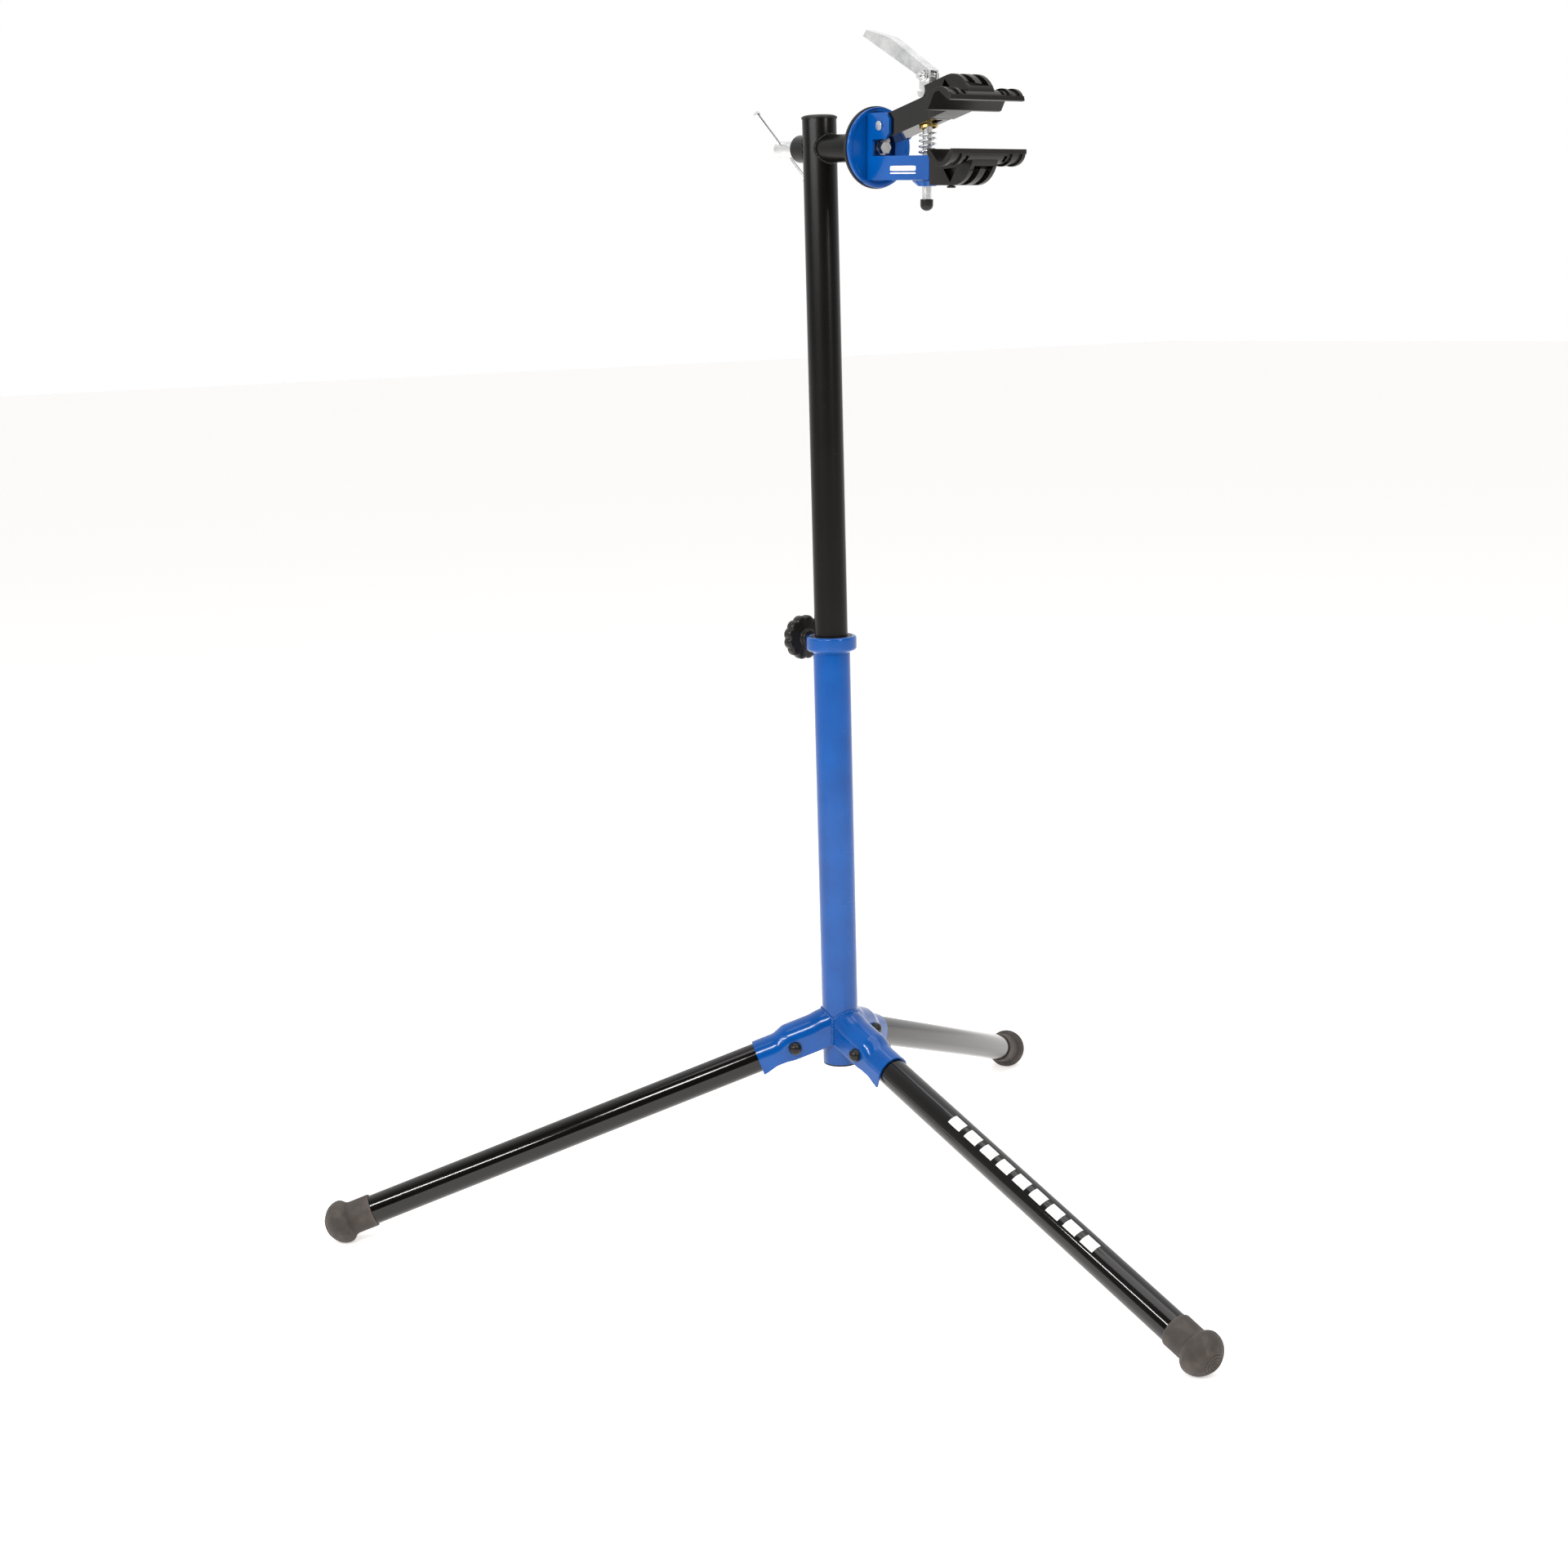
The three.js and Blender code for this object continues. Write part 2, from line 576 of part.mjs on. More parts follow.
place(head, 'thrust_washer', alongX(ring(
  crossRadius - 1, axleHole, thrustFace, CROSS_BACK - FIT, SMALL_ROUND)), zinc());

const barHole = rod(BAR_RADIUS + BOLT_PLAY, -BAR_LENGTH, BAR_LENGTH, SMALL_ROUND)
  .rotate([BAR_ANGLE, 0, 0]).translate([nutBack + BAR_FROM_END, 0, 0]);
place(head, 't_nut', cut(
  alongX(turned([
    [0, nutBack], [TNUT_RADIUS - 1, nutBack], [TNUT_RADIUS, nutBack + 1],
    [TNUT_RADIUS, nutFront - 1], [TNUT_RADIUS - 1, nutFront], [axleHole, nutFront],
    [axleHole, axleEnd - 1], [0, axleEnd - 1]])),
  barHole), zinc());

// The sliding bar carries a bead on each end, so it can't fall out of the nut.
const bar = new THREE.Group();
bar.position.x = nutBack + BAR_FROM_END;
bar.rotation.x = THREE.MathUtils.degToRad(BAR_ANGLE);
head.add(bar);
const barLow = BAR_SHIFT - BAR_LENGTH / 2;
const barHigh = BAR_SHIFT + BAR_LENGTH / 2;
place(bar, 'tommy_bar', join(
  rod(BAR_RADIUS, barLow, barHigh - BAR_BEAD, SMALL_ROUND),
  rod(BAR_BEAD_RADIUS, barHigh - BAR_BEAD, barHigh, SMALL_ROUND)), zinc());
place(bar, 'tommy_bar_end', cut(
  rod(BAR_BEAD_RADIUS, barLow - 1, barLow + BAR_BEAD - 1, SMALL_ROUND),
  rod(BAR_RADIUS + FIT, barLow - FIT, barLow + BAR_BEAD, SMALL_ROUND)), zinc());

// ---------------------------------------------------------------- fork and lower arm

const forkHalf = FORK_WIDTH / 2;
const forkInner = forkHalf - FORK_PLATE;
const earFront = discFace + EAR_REACH;
const armTop = LOWER_ARM_MID + ARM_HEIGHT / 2;
const armFoot = LOWER_ARM_MID - ARM_HEIGHT / 2;
const armEnd = discFace + LOWER_ARM_REACH;
const notchBack = webFace + NOTCH_ROOT;
const pivotX = discFace + PIVOT_REACH;
const rodX = discFace + ROD_REACH;
const rodHole = ROD_RADIUS + ROD_PITCH_PLAY;

// One side plate: an ear for the upper arm's pin above, the lower arm's side below.
const plateOutline = [
  [webBack, armFoot], [armEnd, armFoot], [armEnd, armTop], [notchBack, armTop],
  [notchBack, EAR_FOOT], [earFront - EAR_CHAMFER, EAR_FOOT], [earFront, EAR_FOOT + EAR_CHAMFER],
  [earFront, EAR_TOP - EAR_CHAMFER], [earFront - EAR_CHAMFER, EAR_TOP], [webBack, EAR_TOP]];
const pinHole = alongY(rod(ARM_PIN_RADIUS + BOLT_PLAY, -FORK_WIDTH, FORK_WIDTH, SMALL_ROUND));
const plateMiddle = (forkHalf + forkInner) / 2;

place(head, 'fork_and_lower_arm', cut(
  join(
    profiled(plateOutline, FORK_PLATE, plateMiddle),
    profiled(plateOutline, FORK_PLATE, -plateMiddle),
    block([webBack, -forkHalf, armFoot], [webFace, forkHalf, EAR_TOP]),
    block([webFace - 1, -forkHalf, armFoot], [armEnd, forkHalf, armFoot + ARM_WALL]),
    block([webFace - 1, -forkHalf, armTop - ARM_WALL], [armEnd, forkHalf, armTop])),
  pinHole.translate([pivotX, 0, PIVOT_HEIGHT]),
  alongX(rod(axleHole, webBack - 1, webFace + 1, SMALL_ROUND)),
  rod(rodHole, armFoot - 1, armTop + 1, SMALL_ROUND).translate([rodX, 0, 0])), bluePaint());

place(head, 'rod_boss', cut(
  turned([
    [0, armFoot - SEAT - BOSS_HEIGHT], [BOSS_FOOT_RADIUS, armFoot - SEAT - BOSS_HEIGHT],
    [BOSS_TOP_RADIUS, armFoot - SEAT - 1], [BOSS_TOP_RADIUS, armFoot - SEAT],
    [0, armFoot - SEAT]], SMALL_ROUND),
  rod(rodHole, armFoot - 2 * BOSS_HEIGHT, armFoot + 1, SMALL_ROUND)).translate([rodX, 0, 0]),
bluePaint());

// ---------------------------------------------------------------- jaws

// Jaw frame: X along the arm, Y along the groove, Z out of the groove's mouth, lips at Z = 0.
function troughOutline(radius, depth) {
  const low = arc(1, 180, 360, ROUND / 2).map(([x, z]) => [radius * x, depth * z * 0.82 - depth * 0.18]);
  return [[radius, 0], [-radius, 0], ...low];
}

function jawBody() {
  const arcPoints = arc(BODY_ARC, 270, 360, ROUND / 4, [BODY_ARC_X, BODY_ARC - BODY_DEPTH]);
  const front = BODY_ARC_X + BODY_ARC;
  return profiled([
    [-BODY_BACK, -BODY_SHOULDER], [-BODY_BACK, -BODY_DEPTH], ...arcPoints,
    [front, -LIP_HEIGHT + 1], [-TROUGH_RADIUS, -BODY_SHOULDER]], BODY_WIDTH);
}

// The pocket between two ribs on the body's curved underside.
function jawPocket(middle) {
  const centre = [BODY_ARC_X, BODY_ARC - BODY_DEPTH];
  const outer = arc(BODY_ARC + 3, 275, 350, ROUND / 4, centre);
  const inner = arc(BODY_ARC - POCKET_DEPTH, 350, 275, ROUND / 4, centre);
  const sector = profiled([...outer, ...inner], POCKET_WIDTH, middle);
  const above = block([-BODY_BACK, -BODY_WIDTH, -POCKET_TOP], [BODY_BACK, BODY_WIDTH, 0]);
  return cut(sector, above);
}

// Jaw with a spigot for its arm; `armMid` is the arm's centre line below the lips.
function jaw(armMid, spigotWidth, spigotLength) {
  const half = JAW_LENGTH / 2;
  const shell = profiled(
    troughOutline(TROUGH_RADIUS - SHELL_INSET, TROUGH_DEPTH - SHELL_INSET), JAW_LENGTH);
  const ribs = [half - RIB_WIDTH / 2, half - RIB_WIDTH / 2 - RIB_PITCH].flatMap((at) => [
    profiled(troughOutline(TROUGH_RADIUS, TROUGH_DEPTH), RIB_WIDTH, at),
    profiled(troughOutline(TROUGH_RADIUS, TROUGH_DEPTH), RIB_WIDTH, -at)]);
  const lipWidth = TROUGH_RADIUS + LIP_OVERHANG;
  const lips = block([-lipWidth, -half, -LIP_HEIGHT], [lipWidth, half, 0]);
  const mouth = GROOVE_MOUTH / 2;
  const floorHalf = GROOVE_FLOOR / 2;
  const flare = mouth + (mouth - floorHalf) / GROOVE_DEPTH;
  const groove = profiled([
    [-flare, 1], [-floorHalf, -GROOVE_DEPTH], [floorHalf, -GROOVE_DEPTH], [flare, 1]],
  JAW_LENGTH + 2);
  const recessOutline = [[-33, -19.5], [-12, -18.5], [-21.8, -33]];
  const recesses = [1, -1].map((side) => profiled(
    recessOutline, RECESS_DEPTH, side * (BODY_WIDTH / 2 - RECESS_DEPTH / 2 + 0.01)));
  const slots = [1, -1].map((side) => block(
    [0, side * SLOT_AT - SLOT_WIDTH / 2, -SLOT_DEPTH - SLOT_HEIGHT / 2],
    [BODY_BACK, side * SLOT_AT + SLOT_WIDTH / 2, -SLOT_DEPTH + SLOT_HEIGHT / 2]));
  const spigotHalf = (ARM_HEIGHT / 2) - ARM_WALL - SEAT;
  const spigot = block(
    [-BODY_BACK - spigotLength, -spigotWidth / 2, -armMid - spigotHalf],
    [-BODY_BACK + 1, spigotWidth / 2, -armMid + spigotHalf]);
  const screwHole = rod(JAW_SCREW_RADIUS + FIT, -BODY_DEPTH - 1, -BODY_DEPTH + 20, SMALL_ROUND)
    .translate([-JAW_SCREW_AT, 0, 0]);
  return cut(
    join(shell, ...ribs, lips, jawBody(), spigot),
    groove, ...recesses, ...slots, jawPocket(POCKET_AT), jawPocket(-POCKET_AT), screwHole);
}

// The screw that locks the jaw, driven in from the jaw's back.
function jawScrew() {
  return join(
    rod(JAW_SCREW_RADIUS, -BODY_DEPTH - 1, -BODY_DEPTH + 18, SMALL_ROUND),
    rod(JAW_SCREW_HEAD, -BODY_DEPTH - 2.6, -BODY_DEPTH - SEAT, SMALL_ROUND))
    .translate([-JAW_SCREW_AT, 0, 0]);
}

const lowerJaw = new THREE.Group();
lowerJaw.position.set(discFace + LOWER_JAW_REACH, 0, LOWER_JAW_LIP);
head.add(lowerJaw);
place(lowerJaw, 'lower_jaw', jaw(
  LOWER_JAW_LIP - LOWER_ARM_MID, FORK_WIDTH - 2 * FORK_PLATE - 2 * SEAT, LOWER_SPIGOT),
blackPlastic());
place(lowerJaw, 'lower_jaw_screw', jawScrew(), zinc());

// ---------------------------------------------------------------- upper arm

// Upper arm frame: origin on the pin, X along the arm.
const upper = new THREE.Group();
upper.position.set(pivotX, 0, PIVOT_HEIGHT);
upper.rotation.y = -THREE.MathUtils.degToRad(UPPER_ARM_OPEN);
head.add(upper);

const upperTop = -UPPER_ARM_DROP + ARM_HEIGHT / 2;
const upperFoot = -UPPER_ARM_DROP - ARM_HEIGHT / 2;
const upperHalf = UPPER_ARM_WIDTH / 2;
const slotFrom = (ROD_REACH - PIVOT_REACH) - 7.5;
const slotTo = slotFrom + 24.5;

place(upper, 'upper_arm', cut(
  block([-UPPER_ARM_BACK, -upperHalf, upperFoot], [UPPER_ARM_REACH, upperHalf, upperTop]),
  block([-UPPER_ARM_BACK - 1, -upperHalf + ARM_WALL, upperFoot + ARM_WALL],
    [UPPER_ARM_REACH + 1, upperHalf - ARM_WALL, upperTop - ARM_WALL]),
  alongY(rod(ARM_PIN_RADIUS + BOLT_PLAY, -FORK_WIDTH, FORK_WIDTH, SMALL_ROUND)),
  block([slotFrom, -rodHole - SEAT, upperFoot - 1], [slotTo, rodHole + SEAT, upperTop + 1])),
blackPaint());

const pinEnd = forkHalf + SEAT;
place(upper, 'arm_pin', alongY(join(
  rod(ARM_PIN_RADIUS, -pinEnd, pinEnd, SMALL_ROUND),
  rod(ARM_PIN_HEAD_RADIUS, pinEnd, pinEnd + ARM_PIN_HEAD, SMALL_ROUND),
  rod(ARM_PIN_HEAD_RADIUS, -pinEnd - ARM_PIN_HEAD, -pinEnd, SMALL_ROUND))), zinc());

const upperJaw = new THREE.Group();
upperJaw.position.set(UPPER_JAW_REACH, 0, UPPER_JAW_LIP);
upperJaw.rotation.x = Math.PI;
upper.add(upperJaw);
place(upperJaw, 'upper_jaw', jaw(
  -UPPER_ARM_DROP - UPPER_JAW_LIP, UPPER_ARM_WIDTH - 2 * ARM_WALL - 2 * SEAT, UPPER_SPIGOT),
blackPlastic());
place(upperJaw, 'upper_jaw_screw', jawScrew(), zinc());

// The spring's upper cup sits under the arm, square to it, where the rod passes through.
const openAngle = THREE.MathUtils.degToRad(UPPER_ARM_OPEN);
const rodRun = ROD_REACH - PIVOT_REACH;
const cupX = (rodRun + upperFoot * Math.sin(openAngle)) / Math.cos(openAngle) + CUP_SHIFT;
place(upper, 'spring_cup', ring(
  CUP_RADIUS, rodHole + CUP_PLAY, upperFoot - SEAT - CUP_HEIGHT, upperFoot - SEAT, SMALL_ROUND)
  .translate([cupX, 0, 0]), yellowZinc());

// ---------------------------------------------------------------- clamp rod, spring, cam lever

const pivotUp = LEVER_PIVOT_HEIGHT;
const eyeHole = alongY(rod(
  LEVER_BOLT_RADIUS + BOLT_PLAY, -EYE_THICKNESS, EYE_THICKNESS, SMALL_ROUND));
const eye = alongY(rod(EYE_RADIUS, -EYE_THICKNESS / 2, EYE_THICKNESS / 2, SMALL_ROUND));

const clamp = new THREE.Group();
clamp.position.x = rodX;
head.add(clamp);

// Threaded rod with a flattened eye at its top.
const neckFoot = pivotUp - CAM_RADIUS - SEAT;
const neck = rod(EYE_THICKNESS / 2, neckFoot - 1, pivotUp, SMALL_ROUND);
place(clamp, 'clamp_rod', cut(
  join(rod(ROD_RADIUS, ROD_FOOT, neckFoot, SMALL_ROUND), neck,
    eye.translate([0, 0, pivotUp])),
  eyeHole.translate([0, 0, pivotUp])), zinc());

const domeRim = -DOME_TOP_GAP;
const domeFoot = domeRim - DOME_SKIRT;
const dome = arc(1, 270, 360, 4).map(([across, down]) => [
  DOME_RADIUS * across, domeFoot + DOME_RADIUS * 0.9 * down]);
place(clamp, 'rod_end_cap', turned([
  ...dome, [DOME_RADIUS, domeRim], [ROD_RADIUS + FIT, domeRim],
  [ROD_RADIUS + FIT, ROD_FOOT - FIT], [0, ROD_FOOT - FIT]], SMALL_ROUND), blackPlastic());

// The saddle: a bar across the arm with a round nose below, pressed down by the cam.
const armTopAtRod = PIVOT_HEIGHT + rodRun * Math.tan(openAngle) + upperTop / Math.cos(openAngle);
const noseUp = armTopAtRod + SADDLE_GAP + SADDLE_NOSE / Math.cos(openAngle);
const saddleTop = pivotUp - CAM_RADIUS - SEAT;
place(clamp, 'cam_saddle', cut(
  join(
    alongY(rod(SADDLE_NOSE, -SADDLE_WIDTH / 2, SADDLE_WIDTH / 2, SMALL_ROUND))
      .translate([0, 0, noseUp]),
    block([-SADDLE_NOSE - 1.5, -SADDLE_WIDTH / 2, noseUp], [SADDLE_NOSE + 1.5, SADDLE_WIDTH / 2,
      saddleTop])),
  block([-LEG_OD, -LEG_OD, saddleTop], [LEG_OD, LEG_OD, pivotUp]),
  rod(rodHole, noseUp - 2 * SADDLE_NOSE, saddleTop + 1, SMALL_ROUND)), zinc());

// Lever frame: origin on its bolt, X and Z as the head's; two cheeks joined by a web on top.
const lever = new THREE.Group();
lever.position.set(rodX, 0, pivotUp);
head.add(lever);
const TIP_LOW = [-104.7, 44.3];
const TIP_TOP = [-98.9, 50.3];
const LEVER_BEND = [-58.1, 40.8];
const LEVER_ROOT = [8.9, 5.5];
const LEVER_HEEL = [-16.5, 3.3];
const cheekRight = 8.5;
const cheekLeft = -8;
const camFrom = THREE.MathUtils.radToDeg(Math.acos(cheekRight / CAM_RADIUS));
const camTo = THREE.MathUtils.radToDeg(Math.acos(cheekLeft / CAM_RADIUS));
const cheekOutline = [
  TIP_LOW, LEVER_HEEL, [cheekLeft, -1], ...arc(CAM_RADIUS, -camTo, -camFrom, 8),
  [cheekRight, LEVER_ROOT[1] - 2], LEVER_ROOT, LEVER_BEND, TIP_TOP];
const cheekMiddle = EYE_THICKNESS / 2 + SEAT + LEVER_SHEET / 2;
const leverWidth = 2 * cheekMiddle + LEVER_SHEET;

// The web follows the cheeks' top edge at the sheet's thickness.
function below([x, z], [dx, dz]) {
  const long = Math.hypot(dx, dz);
  return [x + (dz / long) * LEVER_SHEET, z - (dx / long) * LEVER_SHEET];
}
const rootRun = [LEVER_ROOT[0] - LEVER_BEND[0], LEVER_ROOT[1] - LEVER_BEND[1]];
const tipRun = [LEVER_BEND[0] - TIP_TOP[0], LEVER_BEND[1] - TIP_TOP[1]];
const webOutline = [
  TIP_TOP, LEVER_BEND, LEVER_ROOT, below(LEVER_ROOT, rootRun), below(LEVER_BEND, rootRun),
  below(TIP_TOP, tipRun)];
const tipOutline = [
  TIP_LOW, [TIP_LOW[0] + 2 * LEVER_SHEET, TIP_LOW[1] - 1], [TIP_TOP[0] + 2, TIP_TOP[1] - 2],
  TIP_TOP];
place(lever, 'cam_lever', cut(
  join(
    profiled(cheekOutline, LEVER_SHEET, cheekMiddle),
    profiled(cheekOutline, LEVER_SHEET, -cheekMiddle),
    profiled(webOutline, leverWidth - 0.2),
    profiled(tipOutline, leverWidth - 0.2)),
  alongY(rod(LEVER_BOLT_RADIUS + BOLT_PLAY, -FORK_WIDTH, FORK_WIDTH, SMALL_ROUND))), zinc());

const boltSeat = leverWidth / 2 + SEAT;
place(lever, 'lever_bolt', alongY(join(
  rod(LEVER_BOLT_RADIUS, -boltSeat - LEVER_BOLT_HEAD - LEVER_BOLT_TAIL, boltSeat, SMALL_ROUND),
  hexagon(LEVER_BOLT_AF, boltSeat, boltSeat + LEVER_BOLT_HEAD))), zinc());
place(lever, 'lever_nut', alongY(cut(
  hexagon(LEVER_BOLT_AF, -boltSeat - LEVER_BOLT_HEAD, -boltSeat),
  rod(LEVER_BOLT_RADIUS + FIT, -2 * boltSeat, 0, SMALL_ROUND))), zinc());

// The compression spring stands on the lower arm round the rod.
class Helix extends THREE.Curve {
  constructor(radius, turns, height) {
    super();
    Object.assign(this, { radius, turns, height });
  }

  getPoint(t, target = new THREE.Vector3()) {
    const angle = t * this.turns * 2 * Math.PI;
    return target.set(
      this.radius * Math.cos(angle), this.radius * Math.sin(angle), this.height * t);
  }
}

const wire = new THREE.Shape(arc(SPRING_WIRE, 0, 360, 6).slice(0, -1)
  .map(([x, y]) => new THREE.Vector2(x, y)));
const coil = new THREE.ExtrudeGeometry(wire, {
  steps: Math.round(SPRING_TURNS * 16), bevelEnabled: false,
  extrudePath: new Helix(SPRING_RADIUS, SPRING_TURNS, SPRING_LENGTH - 2 * SPRING_WIRE),
});
place(clamp, 'clamp_spring', solid(coil)
  .translate([0, 0, armTop + SEAT + SPRING_WIRE]), zinc());

// ---------------------------------------------------------------- the stand's own frame

// The origin is on the floor, at the middle of the stand's outer box.
stand.updateMatrixWorld(true);
const box = new THREE.Box3().setFromObject(stand, true);
stand.position.set(
  -(box.min.x + box.max.x) / 2, -(box.min.y + box.max.y) / 2, -box.min.z);

export default stand;
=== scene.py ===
import json
import math

import bmesh
import bpy
import numpy as np
from mathutils import Matrix, Vector


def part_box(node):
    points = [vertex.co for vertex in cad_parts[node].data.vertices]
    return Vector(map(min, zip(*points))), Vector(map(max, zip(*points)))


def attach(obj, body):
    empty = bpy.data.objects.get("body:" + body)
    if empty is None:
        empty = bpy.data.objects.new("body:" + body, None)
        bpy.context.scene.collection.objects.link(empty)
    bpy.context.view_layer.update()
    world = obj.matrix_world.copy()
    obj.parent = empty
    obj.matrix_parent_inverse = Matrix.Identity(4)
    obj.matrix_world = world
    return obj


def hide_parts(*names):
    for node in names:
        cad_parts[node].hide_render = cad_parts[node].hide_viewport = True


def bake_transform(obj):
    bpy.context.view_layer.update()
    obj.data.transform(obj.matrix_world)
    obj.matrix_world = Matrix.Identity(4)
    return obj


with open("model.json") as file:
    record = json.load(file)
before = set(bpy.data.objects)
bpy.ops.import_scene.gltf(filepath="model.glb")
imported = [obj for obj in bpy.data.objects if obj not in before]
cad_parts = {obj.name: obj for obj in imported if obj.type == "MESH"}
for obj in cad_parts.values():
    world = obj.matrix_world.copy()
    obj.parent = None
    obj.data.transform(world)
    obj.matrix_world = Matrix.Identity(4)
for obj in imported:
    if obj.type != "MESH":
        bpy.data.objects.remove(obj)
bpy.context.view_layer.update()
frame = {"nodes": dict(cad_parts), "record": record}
joints = {joint["name"]: joint for joint in frame["record"]["behaviour"]["joints"]}

# ---------------------------------------------------------------- studio
# A pale floor that glows a little, like white paper lit from below, under a wide soft
# ceiling light. Narrow tube lights draw the long white lines that gloss paint shows.
# The room is bright behind the stand and dim on the viewer's side.


def linear(colour):
    """An sRGB hex string as linear RGBA: each channel goes through the sRGB curve."""
    channels = [int(colour[i : i + 2], 16) / 255 for i in (0, 2, 4)]
    return [c / 12.92 if c <= 0.04045 else ((c + 0.055) / 1.055) ** 2.4 for c in channels] + [1.0]


def add(tree, kind, settings=None, stops=(), **inputs):
    """Adds a node; each input is a value for its socket or another node's output to link.
    A colour ramp takes stops of (place, value), the value being a grey or a hex colour."""
    made = tree.nodes.new(kind)
    for name, value in (settings or {}).items():
        setattr(made, name, value)
    for number, (place, value) in enumerate(stops):
        elements = made.color_ramp.elements
        stop = elements[number] if number < 2 else elements.new(place)
        stop.position = place
        stop.color = linear(value) if isinstance(value, str) else (value, value, value, 1)
    for name, value in inputs.items():
        key = int(name[1:]) if name[0] == "_" and name[1:].isdigit() else name.replace("_", " ")
        if isinstance(value, bpy.types.NodeSocket):
            tree.links.new(value, made.inputs[key])
        else:
            made.inputs[key].default_value = value
    return made


def new_material(name):
    """An empty node material with its output, ready for a shader."""
    made = bpy.data.materials.new(name)
    made.use_nodes = True
    made.node_tree.nodes.clear()
    return made, made.node_tree


camera_data = bpy.data.cameras.new("camera")
camera_data.lens = 56.46
camera_data.sensor_width = 36
camera = bpy.data.objects.new("camera", camera_data)
bpy.context.scene.collection.objects.link(camera)
heading, dip, lean = (math.radians(v) for v in (54.43, 11.366, -1.574))
forward = np.array([-math.sin(heading) * math.cos(dip), math.cos(heading) * math.cos(dip),
                    -math.sin(dip)])
level = np.array([math.cos(heading), math.sin(heading), 0])
upward = np.cross(level, forward)
right = math.cos(lean) * level + math.sin(lean) * upward
top = -math.sin(lean) * level + math.cos(lean) * upward
camera_place = Matrix([[*row, 0] for row in np.array([right, top, -forward]).T] + [[0, 0, 0, 1]])
camera_place.translation = (2.0972, -1.6778, 1.0866)
camera.matrix_world = camera_place
bpy.context.scene.camera = camera

world = bpy.data.worlds.new("studio")
bpy.context.scene.world = world
world.use_nodes = True
sky = world.node_tree
sky.nodes.clear()
looking = add(sky, "ShaderNodeTexCoord").outputs["Generated"]
away = add(sky, "ShaderNodeVectorMath", {"operation": "DOT_PRODUCT"}, _0=looking,
           _1=(-math.sin(heading), math.cos(heading), 0.0)).outputs["Value"]
share = add(sky, "ShaderNodeMapRange", Value=away, From_Min=-1.0, From_Max=1.0).outputs["Result"]
glow = add(sky, "ShaderNodeValToRGB", Fac=share,
           stops=[(0.0, 0.05), (0.35, 0.1), (0.55, 0.55), (0.72, 1.0)]).outputs["Color"]
backdrop = add(sky, "ShaderNodeBackground", Color=glow, Strength=1.0)
add(sky, "ShaderNodeOutputWorld", Surface=backdrop.outputs[0])


def soft_light(name, place, towards, size, power):
    """A rectangular lamp at a point, turned to face another."""
    lamp = bpy.data.lights.new(name, "AREA")
    lamp.shape = "RECTANGLE"
    lamp.size, lamp.size_y = size
    lamp.energy = power
    holder = bpy.data.objects.new(name, lamp)
    bpy.context.scene.collection.objects.link(holder)
    aim = (Vector(towards) - Vector(place)).to_track_quat("-Z", "Y")
    holder.matrix_world = Matrix.Translation(place) @ aim.to_matrix().to_4x4()


soft_light("ceiling_light", (0.2, 0.1, 3.4), (0, 0, 0), (2.6, 2.6), 42)
soft_light("tube_light_left", (0.2, -2.6, 1.9), (0.0, -0.3, 0.2), (2.2, 0.10), 45)
soft_light("tube_light_right", (2.6, 0.4, 2.3), (0.1, 0, 0.4), (0.12, 1.8), 40)
soft_light("front_light", (1.5, -2.2, 2.7), (0, 0, 0.9), (0.7, 0.4), 30)

floor_mesh = bpy.data.meshes.new("floor")
floor_mesh.from_pydata([(-30, -30, 0), (30, -30, 0), (30, 30, 0), (-30, 30, 0)], [], [(0, 1, 2, 3)])
floor = bpy.data.objects.new("floor", floor_mesh)
bpy.context.scene.collection.objects.link(floor)
floor_paper, tree = new_material("white_paper")
matt = add(tree, "ShaderNodeBsdfPrincipled", Base_Color=linear("F2F0EE"), Roughness=0.9,
           Specular_IOR_Level=0.1, Emission_Color=linear("FFFDFB"), Emission_Strength=0.52)
add(tree, "ShaderNodeOutputMaterial", Surface=matt.outputs[0])
floor_mesh.materials.append(floor_paper)

bpy.context.scene.view_settings.view_transform = "Standard"

# ---------------------------------------------------------------- lower column
# A welded steel tube, gloss blue powder coat, with a moulded plug pushed into its foot.
# The collar is a turned steel ring welded round its top; it holds the guide bush and the
# knob's thread.


def softened(points, radius, steps=4):
    """A profile with each inner corner swapped for a curve that starts and ends at most
    `radius` from it: a quadratic curve with the corner as its middle control point."""
    points = np.array(points, float)
    out = [points[:1]]
    for before, corner, after in zip(points, points[1:], points[2:]):
        back, ahead = before - corner, after - corner
        reach = min(radius, 0.45 * np.hypot(*back), 0.45 * np.hypot(*ahead))
        start, end = corner + back / np.hypot(*back) * reach, corner + ahead / np.hypot(*ahead) * reach
        t = np.linspace(0, 1, steps + 1)[:, None]
        out.append((1 - t) ** 2 * start + 2 * t * (1 - t) * corner + t**2 * end)
    out.append(points[-1:])
    return np.concatenate(out)


def sleeve(inner, outer, low, high, rounding):
    """The profile of a plain tube or ring: its four corners, rounded."""
    return softened([(inner, low), (outer, low), (outer, high), (inner, high), (inner, low)], rounding)


